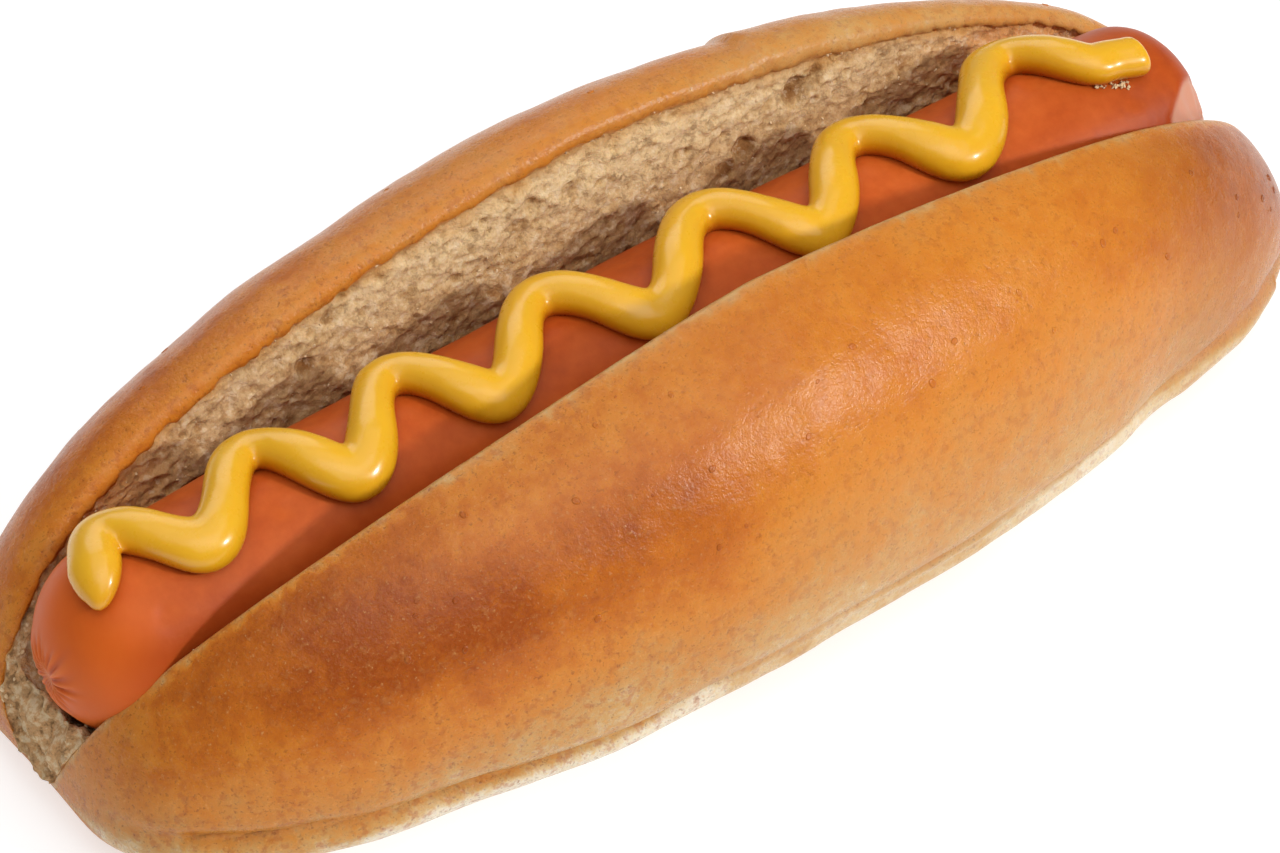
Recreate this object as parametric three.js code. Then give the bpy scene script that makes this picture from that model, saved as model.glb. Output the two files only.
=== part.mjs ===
// A hot dog: a soft roll cut open along its top, a frankfurter lying in the cut,
// and one line of mustard piped to and fro along the frankfurter.
//
// Millimetres, +Z up. X runs along the roll, -Y is the side with the plain outer crust in view,
// and the roll rests on the plane z = 0. The origin is under the middle of the roll.
//
// A length along the roll or the frankfurter is often given as a share s, from -1 at the left end
// to +1 at the right end.
import * as THREE from 'three';

// The roll
const ROLL_LENGTH = 175;
const ROLL_HEIGHT = 47.7;
const ROLL_END_HEIGHT = 5;
const CROWN_LIFT = 0.116; // the crown keeps this share more of its height towards the ends
const CROWN_FLATNESS = 1.44;
const CROWN_POWER = 2.38;
const ROLL_TILT = 0.056; // the right end is higher than the middle by this share
const PLAN_NARROWING = 0.153;
const PLAN_FLATNESS = 1.744;
const WAIST = 0.453; // height of the widest line, as a share of the section's height
const LOWER_SQUARENESS = 3.2;
const UPPER_SQUARENESS = 1.94;
const BASE_SQUASH = 1.3; // depth by which the round underside is flattened on the tray
const BASE_FLAT = 0.72; // share of the length that lies flat on the tray
const UNEVENNESS = 0.3;

// The two halves of the roll differ a little, as hand-shaped dough does.
// taper: the left end is wider than the middle by this share, and the right end narrower.
// leftPower and rightPower: how blunt the ends are.
// endSpread: the cut gapes by this much more at the left end, where the crust tore.
// dents: local lows and swells of the crust, each as place along X, height in millimetres and width.
const FRONT = {
  side: -1,
  halfWidth: 37.9,
  taper: 0.089,
  leftPower: 3.7,
  rightPower: 4.3,
  mouth: 14.6,
  mouthTaper: 0.067,
  mouthLeftPower: 2.35,
  mouthRightPower: 2.4,
  endSpread: 0.2,
  slide: 0,
  dentHeight: 6,
  dents: [[-63, 0.5, 4], [-51, -0.6, 6], [-32, 0.65, 6], [-12, -0.3, 7], [33, 0.3, 12], [53, -0.9, 5], [72, 0.5, 5]],
};
const BACK = {
  side: 1,
  halfWidth: 36.2,
  taper: 0.084,
  leftPower: 6.1,
  rightPower: 5.8,
  mouth: 16.9,
  mouthTaper: 0.045,
  mouthLeftPower: 4.5,
  mouthRightPower: 4.8,
  endSpread: 2.4,
  slide: -1.5, // the back half sits this far to the left
  dentHeight: 38,
  dents: [[-50, -0.35, 6], [-38, 0.5, 5], [-28, -0.3, 4], [30, -0.7, 4], [39, 0.6, 6]],
};

// The cut along the top
const MOUTH_OFFSET = -0.5;
const MOUTH_NARROWING = 0.04;
const MOUTH_FLATNESS = 3.2;
const LIP_ROUNDING = 1.1;
const FACE_BULGE = 1.5; // above 1, the crumb swells into the mouth
const GROOVE_GAP = 0.6; // free space between the crumb and the frankfurter
const CRUMB_RELIEF = 0.55;
const HINGE_SHARE = 0.26; // bread left uncut under the groove, as a share of the lip height

// The pale band where the side meets the tray, and the crease above it
const BAND_TOP = 9.5;
const BAND_CREASE_DEPTH = 0.9;
const BAND_CREASE_WIDTH = 1.3;
const BAND_SWELL = 0.6;

// The frankfurter
const SAUSAGE_RADIUS = 11.4;
const SAUSAGE_LEFT = -85.9;
const SAUSAGE_RIGHT = 78.4;
const SAUSAGE_AXIS_HEIGHT = 23.2;
const SAUSAGE_RISE = 2.1; // the middle of its axis stands this much above the ends
const SAUSAGE_LEAN = 2.0; // the right end of its axis stands this much above the middle
const SAUSAGE_BOW = 0.9; // the middle of its axis is this far to the back
const LEFT_DOME = 11;
const RIGHT_DOME = 8.5;
const PUCKER_DEPTH = 1.3;
const PUCKER_RADIUS = 3.2;

// The mustard
const BEAD_HALF_WIDTH = 2.6;
const BEAD_HEIGHT = 3.9;
const BEAD_FOOT_GAP = 0.3; // free space between the mustard and the frankfurter
// The hand's turns: place along X, degrees round the frankfurter from its top towards the back,
// and how full the bead is there. The hand pressed harder at the front turns.
const MUSTARD_TURNS = [
  [-80.4, -13.5, 0.86], [-75.4, 21, 1.02],
  [-66.2, -19.5, 1.1], [-55.6, 20.5, 0.97],
  [-46.8, -26, 1.14], [-36.2, 20, 0.97],
  [-27, -25.5, 1.1], [-14.8, 20.5, 1],
  [-4.8, -25.5, 1.08], [8.6, 21.5, 1],
  [18.8, -25.5, 1.08], [31, 25.5, 1.02],
  [41, -22, 1.18], [55.4, 34, 1.04],
  [63.6, -6, 1], [68.4, -9, 0.96],
];

// Mesh steps
const ROLL_STATIONS = 54;
const SIDE_STEPS = 7;
const SHOULDER_STEPS = 7;
const FACE_STEPS = 7;
const GROOVE_STEPS = 4;
const SAUSAGE_SIDES = 24;
const DOME_STEPS = 6;
const BARREL_STEPS = 13;
const BEAD_SIDES = 10;
const BEAD_STEP = 1.45;

const radians = THREE.MathUtils.degToRad;

const endRounding = (s, flatness, power) => Math.max(0, 1 - Math.abs(s) ** flatness) ** (1 / power);

// A slow, repeatable unevenness between -1 and 1.
function lumps(a, b) {
  return 0.5 * Math.sin(a + 1.7 * Math.sin(b)) + 0.3 * Math.sin(2.3 * a - b + 1.1) + 0.2 * Math.sin(4.1 * a + 2.6 * b);
}

// Closes a row of rings, each with the same number of points, into one solid with a pole at each end.
// The rings run along +X, and each goes round anticlockwise as seen from its -X side.
function closedLoft(firstPole, rings, lastPole) {
  const count = rings[0].length;
  const points = [firstPole, ...rings.flat(), lastPole];
  const last = points.length - 1;
  const faces = [];
  for (let j = 0; j < count; j++) {
    const next = (j + 1) % count;
    faces.push(0, 1 + j, 1 + next);
    for (let i = 0; i + 1 < rings.length; i++) {
      const here = 1 + i * count;
      const there = here + count;
      faces.push(here + j, there + j, there + next, here + j, there + next, here + next);
    }
    const end = 1 + (rings.length - 1) * count;
    faces.push(last, end + next, end + j);
  }
  const geometry = new THREE.BufferGeometry().setFromPoints(points);
  geometry.setIndex(faces);
  geometry.computeVertexNormals();
  return geometry;
}

// The frankfurter's axis, radius and surface

const sausageMiddle = (SAUSAGE_LEFT + SAUSAGE_RIGHT) / 2;
const sausageHalf = (SAUSAGE_RIGHT - SAUSAGE_LEFT) / 2;

function sausageAxis(x) {
  const s = THREE.MathUtils.clamp((x - sausageMiddle) / sausageHalf, -1.1, 1.1);
  const arch = 1 - s * s;
  return new THREE.Vector3(x, SAUSAGE_BOW * arch, SAUSAGE_AXIS_HEIGHT + SAUSAGE_RISE * arch + SAUSAGE_LEAN * s);
}

function sausageRadius(x) {
  const fromLeft = Math.max(0, x - SAUSAGE_LEFT);
  const fromRight = Math.max(0, SAUSAGE_RIGHT - x);
  const left = endRounding(1 - Math.min(1, fromLeft / LEFT_DOME), 2.1, 2.1);
  const right = endRounding(1 - Math.min(1, fromRight / RIGHT_DOME), 2.4, 2.2);
  return SAUSAGE_RADIUS * Math.min(left, right) * (1 + 0.012 * Math.sin(x / 9 + 1));
}

// angle is 0 at the top and grows towards the back, +Y.
function sausagePoint(x, angle, outwards = 0) {
  const axis = sausageAxis(x);
  const step = 0.05;
  const slope = (sausageRadius(x + step) - sausageRadius(x - step)) / (2 * step);
  const radial = new THREE.Vector3(0, Math.sin(angle), Math.cos(angle));
  const normal = new THREE.Vector3(-slope, radial.y, radial.z).normalize();
  return axis.addScaledVector(radial, sausageRadius(x)).addScaledVector(normal, outwards);
}

function sausageGeometry() {
  const distances = [];
  for (let i = 1; i <= DOME_STEPS; i++) distances.push(SAUSAGE_LEFT + LEFT_DOME * (1 - Math.cos((i / DOME_STEPS) * Math.PI / 2)));
  const barrelStart = SAUSAGE_LEFT + LEFT_DOME;
  const barrelLength = SAUSAGE_RIGHT - RIGHT_DOME - barrelStart;
  for (let i = 1; i < BARREL_STEPS; i++) distances.push(barrelStart + (barrelLength * i) / BARREL_STEPS);
  for (let i = DOME_STEPS; i >= 1; i--) distances.push(SAUSAGE_RIGHT - RIGHT_DOME * (1 - Math.cos((i / DOME_STEPS) * Math.PI / 2)));
  const rings = distances.map((x) => {
    const ring = [];
    for (let j = 0; j < SAUSAGE_SIDES; j++) {
      const point = sausagePoint(x, Math.PI + (j / SAUSAGE_SIDES) * Math.PI * 2);
      const radius = Math.hypot(point.y - sausageAxis(x).y, point.z - sausageAxis(x).z);
      if (x < 0) point.x += PUCKER_DEPTH * Math.exp(-((radius / PUCKER_RADIUS) ** 2));
      ring.push(point);
    }
    return ring;
  });
  const leftPole = sausageAxis(SAUSAGE_LEFT + PUCKER_DEPTH);
  const rightPole = sausageAxis(SAUSAGE_RIGHT);
  return closedLoft(leftPole, rings, rightPole);
}

// The roll's section at a share s of its length

const byEnd = (s, left, right) => (s < 0 ? left : right);

function rollHeights(s) {
  const arch = (1 + CROWN_LIFT * s * s) * endRounding(s, CROWN_FLATNESS, CROWN_POWER);
  const crown = (ROLL_END_HEIGHT + (ROLL_HEIGHT - ROLL_END_HEIGHT) * arch) * (1 + ROLL_TILT * s);
  const curl = Math.max(0, (Math.abs(s) - BASE_FLAT) / (1 - BASE_FLAT));
  const base = ROLL_END_HEIGHT * (1 - endRounding(curl, 2.2, 2));
  return { crown, base, waist: base + WAIST * (crown - base) };
}

function halfWidth(half, s) {
  const plan = (1 - half.taper * s) * (1 - PLAN_NARROWING * s * s);
  return half.halfWidth * plan * endRounding(s, PLAN_FLATNESS, byEnd(s, half.leftPower, half.rightPower));
}

function mouthWidth(half, s) {
  const plan = (1 - half.mouthTaper * s) * (1 - MOUTH_NARROWING * s * s);
  const power = byEnd(s, half.mouthLeftPower, half.mouthRightPower);
  const spread = half.endSpread * Math.exp(-(((1 + s) / 0.04) ** 2));
  return Math.min(half.mouth * plan * endRounding(s, MOUTH_FLATNESS, power) + spread, 0.75 * halfWidth(half, s));
}

// A point of one half, from its share along the roll, its distance from the cut's centre plane and its height.
function halfPoint(half, s, across, height, centre = MOUTH_OFFSET) {
  const x = (s * ROLL_LENGTH) / 2 + half.slide * Math.min(1, across / 30);
  return new THREE.Vector3(x, centre + half.side * across, Math.max(0, height));
}

function dents(half, x, height) {
  const near = Math.exp(-(((height - half.dentHeight) / 9) ** 2));
  return near * half.dents.reduce((sum, [at, size, width]) => sum + size * Math.exp(-(((x - at) / width) ** 2)), 0);
}

// How far the crust stands out from its smooth form at one place.
function crustRelief(half, x, height) {
  const crease = -BAND_CREASE_DEPTH * Math.exp(-(((height - BAND_TOP) / BAND_CREASE_WIDTH) ** 2));
  const swell = BAND_SWELL * Math.exp(-(((height - BAND_TOP / 2) / (BAND_TOP / 3)) ** 2));
  return crease + swell + dents(half, x, height) + UNEVENNESS * lumps(x / 17 + half.side, height / 13);
}

// Outer crust from beside the base's centre line up to the lip.
function crustPoints(half, s) {
  const { crown, base, waist } = rollHeights(s);
  const width = halfWidth(half, s);
  const x = (s * ROLL_LENGTH) / 2;
  const points = [];
  const add = (across, height) => {
    const reach = (across / width) ** 4 * Math.min(1, width / 20);
    points.push(halfPoint(half, s, across + reach * crustRelief(half, x, height), height));
  };
  for (let i = 1; i <= SIDE_STEPS; i++) {
    const angle = (i / SIDE_STEPS) * (Math.PI / 2);
    const depth = (waist - base + BASE_SQUASH) * Math.cos(angle) ** (2 / LOWER_SQUARENESS);
    add(width * Math.sin(angle) ** (2 / LOWER_SQUARENESS), Math.max(base, waist - depth));
  }
  const inner = Math.min(mouthWidth(half, s) + LIP_ROUNDING, 0.9 * width);
  for (let i = 1; i <= SHOULDER_STEPS; i++) {
    const angle = (i / SHOULDER_STEPS) * (Math.PI / 2);
    const across = inner + (width - inner) * Math.cos(angle) ** (2 / UPPER_SQUARENESS);
    add(across, waist + (crown - waist) * Math.sin(angle) ** (2 / UPPER_SQUARENESS));
  }
  return points;
}

// Half the width that the frankfurter needs at one height, with its free space.
function sausageClearance(x, height) {
  const radius = sausageRadius(x) > 0 ? sausageRadius(x) + GROOVE_GAP : 0;
  return Math.sqrt(Math.max(0, radius ** 2 - (height - sausageAxis(x).z) ** 2));
}

// At the left end the torn crumb rises with the frankfurter's dome.
function grooveFloor(s) {
  const { crown, base } = rollHeights(s);
  const x = (s * ROLL_LENGTH) / 2;
  const lip = Math.max(base, crown - LIP_ROUNDING);
  const hinge = base + HINGE_SHARE * (lip - base);
  const atEnd = THREE.MathUtils.smoothstep(-x, 72, 80);
  const radius = THREE.MathUtils.lerp(SAUSAGE_RADIUS, Math.min(SAUSAGE_RADIUS, sausageRadius(x) + GROOVE_GAP), atEnd);
  return Math.min(lip, Math.max(hinge, sausageAxis(x).z - radius - GROOVE_GAP));
}

// Crumb from the lip down the cut face and under the frankfurter to beside the groove's centre line.
function crumbPoints(half, s) {
  const { crown, base } = rollHeights(s);
  const x = (s * ROLL_LENGTH) / 2;
  const axis = sausageAxis(x);
  const lipAcross = mouthWidth(half, s);
  const floor = grooveFloor(s);
  const depth = Math.max(base, crown - LIP_ROUNDING) - floor;
  const grooveHeight = Math.min(SAUSAGE_RADIUS + GROOVE_GAP, 0.6 * depth);
  const grooveWidth = Math.max(sausageClearance(x, axis.z), Math.min(SAUSAGE_RADIUS + GROOVE_GAP, 0.85 * lipAcross));
  const points = [];
  for (let i = 0; i <= FACE_STEPS; i++) {
    const rise = 1 - i / FACE_STEPS;
    const height = floor + grooveHeight + (depth - grooveHeight) * rise;
    const smooth = grooveWidth + (lipAcross - grooveWidth) * rise ** FACE_BULGE;
    const rough = CRUMB_RELIEF * (0.5 + 0.5 * lumps(x / 2.9, (rise * depth) / 2.1 + half.side));
    const centre = THREE.MathUtils.lerp(axis.y, MOUTH_OFFSET, rise ** 2);
    const needed = sausageClearance(x, height) + half.side * (axis.y - centre);
    const across = Math.max(smooth, needed) + rough * Math.min(1, depth / 12) * Math.min(1, 4 * rise);
    points.push(halfPoint(half, s, across, height, centre));
  }
  for (let i = 1; i < GROOVE_STEPS; i++) {
    const angle = (i / GROOVE_STEPS) * (Math.PI / 2);
    const height = floor + grooveHeight * (1 - Math.sin(angle));
    points.push(halfPoint(half, s, grooveWidth * Math.cos(angle), height, axis.y));
  }
  return points;
}

function rollGeometry() {
  const rings = [];
  for (let i = 1; i < ROLL_STATIONS; i++) {
    const s = Math.sin(((2 * i) / ROLL_STATIONS - 1) * (Math.PI / 2));
    const x = (s * ROLL_LENGTH) / 2;
    rings.push([
      new THREE.Vector3(x, MOUTH_OFFSET, rollHeights(s).base),
      ...crustPoints(FRONT, s),
      ...crumbPoints(FRONT, s),
      new THREE.Vector3(x, sausageAxis(x).y, grooveFloor(s)),
      ...crumbPoints(BACK, s).reverse(),
      ...crustPoints(BACK, s).reverse(),
    ]);
  }
  const pole = (s) => new THREE.Vector3((s * ROLL_LENGTH) / 2, MOUTH_OFFSET, ROLL_END_HEIGHT);
  return closedLoft(pole(-1), rings, pole(1));
}

// The mustard's route over the frankfurter, with the bead's fullness at each of its points.

const TURN_STEPS = 24;

function mustardRoute() {
  const route = [];
  const fullness = [];
  const add = (x, degrees, full) => {
    route.push(sausagePoint(x, radians(degrees)));
    fullness.push(full);
  };
  for (let k = 0; k + 1 < MUSTARD_TURNS.length; k++) {
    const [fromX, fromDegrees, fromFull] = MUSTARD_TURNS[k];
    const [toX, toDegrees, toFull] = MUSTARD_TURNS[k + 1];
    for (let i = 0; i < TURN_STEPS; i++) {
      const share = i / TURN_STEPS;
      const ease = (1 - Math.cos(Math.PI * share)) / 2;
      const between = (from, to) => THREE.MathUtils.lerp(from, to, ease);
      add(THREE.MathUtils.lerp(fromX, toX, share), between(fromDegrees, toDegrees), between(fromFull, toFull));
    }
  }
  add(...MUSTARD_TURNS[MUSTARD_TURNS.length - 1]);
  return { curve: new THREE.CatmullRomCurve3(route, false, 'centripetal'), fullness };
}

// A point beside the route, put back on the frankfurter and raised off its skin.
function onSausage(point, height) {
  const x = THREE.MathUtils.clamp(point.x, SAUSAGE_LEFT + 1, SAUSAGE_RIGHT - 1);
  const axis = sausageAxis(x);
  return sausagePoint(x, Math.atan2(point.y - axis.y, point.z - axis.z), height);
}

function mustardGeometry() {
  const { curve: route, fullness } = mustardRoute();
  const length = route.getLength();
  const steps = Math.round(length / BEAD_STEP);
  const rings = [];
  const place = (i) => route.getPointAt(THREE.MathUtils.clamp(i / steps, 0, 1));
  const crest = (i) => onSausage(place(i), BEAD_FOOT_GAP + BEAD_HEIGHT * 0.45);
  for (let i = 0; i <= steps; i++) {
    const centre = place(i);
    const along = route.getTangentAt(i / steps);
    const axis = sausageAxis(centre.x);
    const up = new THREE.Vector3(0, centre.y - axis.y, centre.z - axis.z).normalize();
    const across = new THREE.Vector3().crossVectors(up, along).normalize();
    const before = route.getTangentAt(Math.max(0, i / steps - 0.5 / steps));
    const after = route.getTangentAt(Math.min(1, i / steps + 0.5 / steps));
    const bend = after.sub(before).dot(across) / BEAD_STEP;
    const fromEnd = Math.min(i, steps - i) * BEAD_STEP;
    const taper = Math.sqrt(1 - (1 - Math.min(1, (fromEnd + 0.25) / 2.6)) ** 2);
    const full = fullness[Math.round(route.getUtoTmapping(i / steps) * (fullness.length - 1))];
    const swell = full * (1 + 0.04 * Math.sin(i * 0.9) + 0.03 * Math.sin(i * 0.37 + 2));
    const ring = [];
    for (let j = 0; j < BEAD_SIDES; j++) {
      const angle = -(j / BEAD_SIDES) * Math.PI * 2;
      let sideways = BEAD_HALF_WIDTH * swell * taper * Math.cos(angle);
      if (sideways * bend > 0) sideways = Math.sign(sideways) * Math.min(Math.abs(sideways), 0.85 / Math.abs(bend));
      const height = BEAD_FOOT_GAP + BEAD_HEIGHT * full ** 0.5 * taper * Math.max(0, 0.46 + 0.54 * Math.sin(angle));
      ring.push(onSausage(centre.clone().addScaledVector(across, sideways), height));
    }
    rings.push(ring);
  }
  return closedLoft(crest(0), rings, crest(steps));
}

const crustMaterial = new THREE.MeshStandardMaterial({ color: '#c98a45', roughness: 0.5, metalness: 0 });
const sausageMaterial = new THREE.MeshStandardMaterial({ color: '#c25a2e', roughness: 0.35, metalness: 0 });
const mustardMaterial = new THREE.MeshStandardMaterial({ color: '#e3ab22', roughness: 0.25, metalness: 0 });

function namedMesh(name, geometry, material) {
  const mesh = new THREE.Mesh(geometry, material);
  mesh.name = name;
  return mesh;
}

const hotDog = new THREE.Group();
hotDog.add(
  namedMesh('roll', rollGeometry(), crustMaterial),
  namedMesh('sausage', sausageGeometry(), sausageMaterial),
  namedMesh('mustard', mustardGeometry(), mustardMaterial),
);

export default hotDog;
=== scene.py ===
# %% [markdown]
# # A hot dog with mustard
# A soft wheat roll is cut open along its top, a smooth frankfurter lies in the cut, and one line
# of mustard is piped to and fro over it. Three things are in contact and none of them moves, so
# every piece below rides on the one body of the frame.
# The frame gives the solids in metres. Each soft solid is replaced by a finer piece that keeps
# the same rule for its form, so that the two always agree in size and place.

# %% Load the fixed frame
import itertools
import math

import bmesh
import bpy
import numpy as np
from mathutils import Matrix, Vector


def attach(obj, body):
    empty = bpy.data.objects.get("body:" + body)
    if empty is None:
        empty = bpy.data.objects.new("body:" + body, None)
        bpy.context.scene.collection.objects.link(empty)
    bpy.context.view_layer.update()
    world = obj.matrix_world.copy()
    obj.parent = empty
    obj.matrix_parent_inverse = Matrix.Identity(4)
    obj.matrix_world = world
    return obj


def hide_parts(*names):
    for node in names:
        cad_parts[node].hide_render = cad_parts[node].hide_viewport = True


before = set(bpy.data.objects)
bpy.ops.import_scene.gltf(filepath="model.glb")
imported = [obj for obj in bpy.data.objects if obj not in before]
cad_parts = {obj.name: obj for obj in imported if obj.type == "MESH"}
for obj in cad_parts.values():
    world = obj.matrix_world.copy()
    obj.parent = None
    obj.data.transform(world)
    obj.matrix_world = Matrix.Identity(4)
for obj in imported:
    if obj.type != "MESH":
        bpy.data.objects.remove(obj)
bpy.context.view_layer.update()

MM = 0.001

# %% [markdown]
# ## The camera
# The photograph looks down at 45 degrees, from the side of the plain crust and a little from the
# left. The lens is long, because the two ends of the roll are seen almost in the same scale.
# The camera is set first, so that each piece can be looked at as it is made.

# %% Set the camera
CAMERA_TURN = math.radians(35.418)
CAMERA_TILT = math.radians(45)
CAMERA_DISTANCE = 620.2
CAMERA_TARGET = Vector((-10.375, -9.045, 25))
CAMERA_LENS, SENSOR_WIDTH, NEAREST_SEEN = 148.77, 36, 0.05


def put_in_scene(name, data):
    made = bpy.data.objects.new(name, data)
    bpy.context.scene.collection.objects.link(made)
    return made


away = Vector((
    -math.sin(CAMERA_TURN) * math.cos(CAMERA_TILT),
    -math.cos(CAMERA_TURN) * math.cos(CAMERA_TILT),
    math.sin(CAMERA_TILT),
))
camera_data = bpy.data.cameras.new("camera")
camera_data.lens, camera_data.sensor_width, camera_data.clip_start = CAMERA_LENS, SENSOR_WIDTH, NEAREST_SEEN
camera = put_in_scene("camera", camera_data)
camera.location = (CAMERA_TARGET + away * CAMERA_DISTANCE) * MM
camera.rotation_euler = (-away).to_track_quat("-Z", "Y").to_euler()
bpy.context.scene.camera = camera
print("camera at", [round(v, 3) for v in camera.location])

# %% [markdown]
# ## Repeatable roughness
# Bread is never smooth: the crust has slow swells and small wrinkles, and the cut crumb is full
# of gas cells. A displacement texture could give that, but numbers worked out point by point can
# also be stored on the mesh, so that colour and relief fall in the same places. Two kinds are
# enough: a soft noise for swells, and cells for the pores. Both come from a fixed hash of the
# place, so every run gives the same loaf.

# %% Soft noise and cells
def cell_random(ix, iy, iz, seed):
    """A number from 0 to 1 that depends only on the cell and the seed."""
    mixed = (ix * 374761393 + iy * 668265263 + iz * 1440662683 + seed * 1013904223) & 0xFFFFFFFF
    mixed = ((mixed ^ (mixed >> 13)) * 1274126177) & 0xFFFFFFFF
    return ((mixed ^ (mixed >> 16)) & 0xFFFFFF) / 0xFFFFFF


def soft_noise(points, size, seed):
    """Smooth noise from -1 to 1, with lumps about `size` millimetres across."""
    scaled = points / size
    cell = np.floor(scaled).astype(np.int64)
    share = scaled - cell
    share = share * share * (3 - 2 * share)
    total = np.zeros(len(points))
    for corner in itertools.product((0, 1), repeat=3):
        weight = np.abs(1 - np.array(corner) - share).prod(axis=1)
        total += weight * cell_random(*(cell + corner).T, seed)
    return 2 * total - 1


def layered_noise(points, size, seed, layers=3):
    total, reach = np.zeros(len(points)), 0.0
    for layer in range(layers):
        share = 0.5 ** layer
        total += share * soft_noise(points, size * share, seed + 7 * layer)
        reach += share
    return total / reach


def round_pores(points, size, seed, smallest=0.25, largest=0.7, filled=1.0):
    """Depth from 0 to 1 inside round pores. A share `filled` of the cells of `size` millimetres has one."""
    scaled = points / size
    cell = np.floor(scaled).astype(np.int64)
    depth = np.zeros(len(points))
    for beside in itertools.product((-1, 0, 1), repeat=3):
        near = cell + beside
        draws = [cell_random(*near.T, seed + k) for k in range(5)]
        centre = near + np.stack(draws[:3], axis=1)
        radius = np.where(draws[4] < filled, smallest + (largest - smallest) * draws[3] ** 2, 1e-6)
        away_share = np.linalg.norm(scaled - centre, axis=1) / radius
        depth = np.maximum(depth, np.sqrt(np.clip(1 - away_share ** 2, 0, 1)) * radius / largest)
    return depth


def smooth_step(low, high, value):
    share = np.clip((value - low) / (high - low), 0, 1)
    return share * share * (3 - 2 * share)


def bell(value, middle, width):
    """1 in the middle, falling smoothly to nothing about two widths away."""
    return np.exp(-(((value - middle) / width) ** 2))


test = np.random.default_rng(1).uniform(-80, 80, (2000, 3))
print("soft noise spread %.3f" % soft_noise(test, 5, 1).std())
print("share under pores %.3f" % (round_pores(test, 2, 1) > 0).mean())

# %% [markdown]
# ## The form of the frankfurter
# A frankfurter is a tube of fine meat with a dome at each end, bowed a little by its own casing.
# Its axis, its radius along the axis and its skin are three small functions, because the groove
# in the roll and the mustard both need them too.

# %% The frankfurter's axis, radius and skin
SAUSAGE_RADIUS = 11.4
SAUSAGE_LEFT, SAUSAGE_RIGHT = -85.9, 78.4
LEFT_DOME, RIGHT_DOME = 11, 8.5
SAUSAGE_AXIS_HEIGHT = 23.2
SAUSAGE_RISE, SAUSAGE_LEAN, SAUSAGE_BOW = 2.1, 2.0, 0.9
SAUSAGE_MIDDLE, SAUSAGE_HALF = (SAUSAGE_LEFT + SAUSAGE_RIGHT) / 2, (SAUSAGE_RIGHT - SAUSAGE_LEFT) / 2


def end_rounding(s, flatness, power):
    return np.maximum(0, 1 - np.abs(s) ** flatness) ** (1 / power)


def sausage_axis(x):
    """The axis's place to the back and its height at a place along X."""
    share = np.clip((x - SAUSAGE_MIDDLE) / SAUSAGE_HALF, -1.1, 1.1)
    arch = 1 - share * share
    return SAUSAGE_BOW * arch, SAUSAGE_AXIS_HEIGHT + SAUSAGE_RISE * arch + SAUSAGE_LEAN * share


def sausage_radius(x):
    left = end_rounding(1 - np.clip((x - SAUSAGE_LEFT) / LEFT_DOME, 0, 1), 2.1, 2.1)
    right = end_rounding(1 - np.clip((SAUSAGE_RIGHT - x) / RIGHT_DOME, 0, 1), 2.4, 2.2)
    return SAUSAGE_RADIUS * np.minimum(left, right) * (1 + 0.012 * np.sin(x / 9 + 1))


def sausage_skin(x, angle, outwards):
    """Points at a height above the skin. The angle is 0 at the top and grows to the back."""
    y, z = sausage_axis(x)
    slope = (sausage_radius(x + 0.05) - sausage_radius(x - 0.05)) / 0.1
    long = np.sqrt(1 + slope ** 2)
    radius = sausage_radius(x) + outwards / long
    points = [x - slope * outwards / long, y + radius * np.sin(angle), z + radius * np.cos(angle)]
    return np.stack(points, axis=-1)


print("frankfurter", SAUSAGE_RIGHT - SAUSAGE_LEFT, "mm long,", 2 * SAUSAGE_RADIUS, "mm thick")

# %% [markdown]
# ## The form of the roll
# The roll is one loaf, so it is one closed skin: crust outside, crumb in the cut, joined along
# the two lips. Sculpting it would hide its sizes. Here each cross-section is drawn from a few
# rules instead: a flat base, full sides, a shoulder that rounds over into the lip, and a cut that
# swells inwards and runs under the frankfurter. The two halves have their own sizes, as dough
# shaped by hand does.

# %% Sizes of the roll, in millimetres
HALF_LENGTH = 87.5
END_HEIGHT = 5
CROWN_HEIGHT = 47.7
BASE_SQUASH = 1.3
BASE_FLAT = 0.72
LOWER_SQUARENESS, UPPER_SQUARENESS = 3.2, 1.94
MOUTH_OFFSET = -0.5
GROOVE_GAP = 0.6
BAND_TOP = 9.5
CROWN_LIFT, CROWN_FLATNESS, CROWN_POWER, CROWN_TILT = 0.116, 1.44, 2.38, 0.056
WAIST_SHARE = 0.453
PLAN_PINCH, PLAN_FLATNESS = 0.153, 1.744
MOUTH_PINCH, MOUTH_FLATNESS = 0.04, 3.2
HINGE_SHARE = 0.26

FRONT = dict(
    side=-1, half_width=37.9, taper=0.089, left=3.7, right=4.3, slide=0, lip=1.0, end_spread=0.2,
    mouth=14.6, mouth_taper=0.067, mouth_left=2.35, mouth_right=2.4, dent_height=6,
    dents=[
        (-63, 0.5, 4), (-51, -0.6, 6), (-32, 0.65, 6), (-12, -0.3, 7),
        (33, 0.3, 12), (53, -0.9, 5), (72, 0.5, 5),
    ],
)
BACK = dict(
    side=1, half_width=36.2, taper=0.084, left=6.1, right=5.8, slide=-1.5, lip=1.9, end_spread=2.4,
    mouth=16.9, mouth_taper=0.045, mouth_left=4.5, mouth_right=4.8, dent_height=38,
    dents=[(-50, -0.35, 6), (-38, 0.5, 5), (-28, -0.3, 4), (30, -0.7, 4), (39, 0.6, 6)],
)


def lumps(a, b):
    slow, middling = 0.5 * np.sin(a + 1.7 * np.sin(b)), 0.3 * np.sin(2.3 * a - b + 1.1)
    return slow + middling + 0.2 * np.sin(4.1 * a + 2.6 * b)


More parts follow.
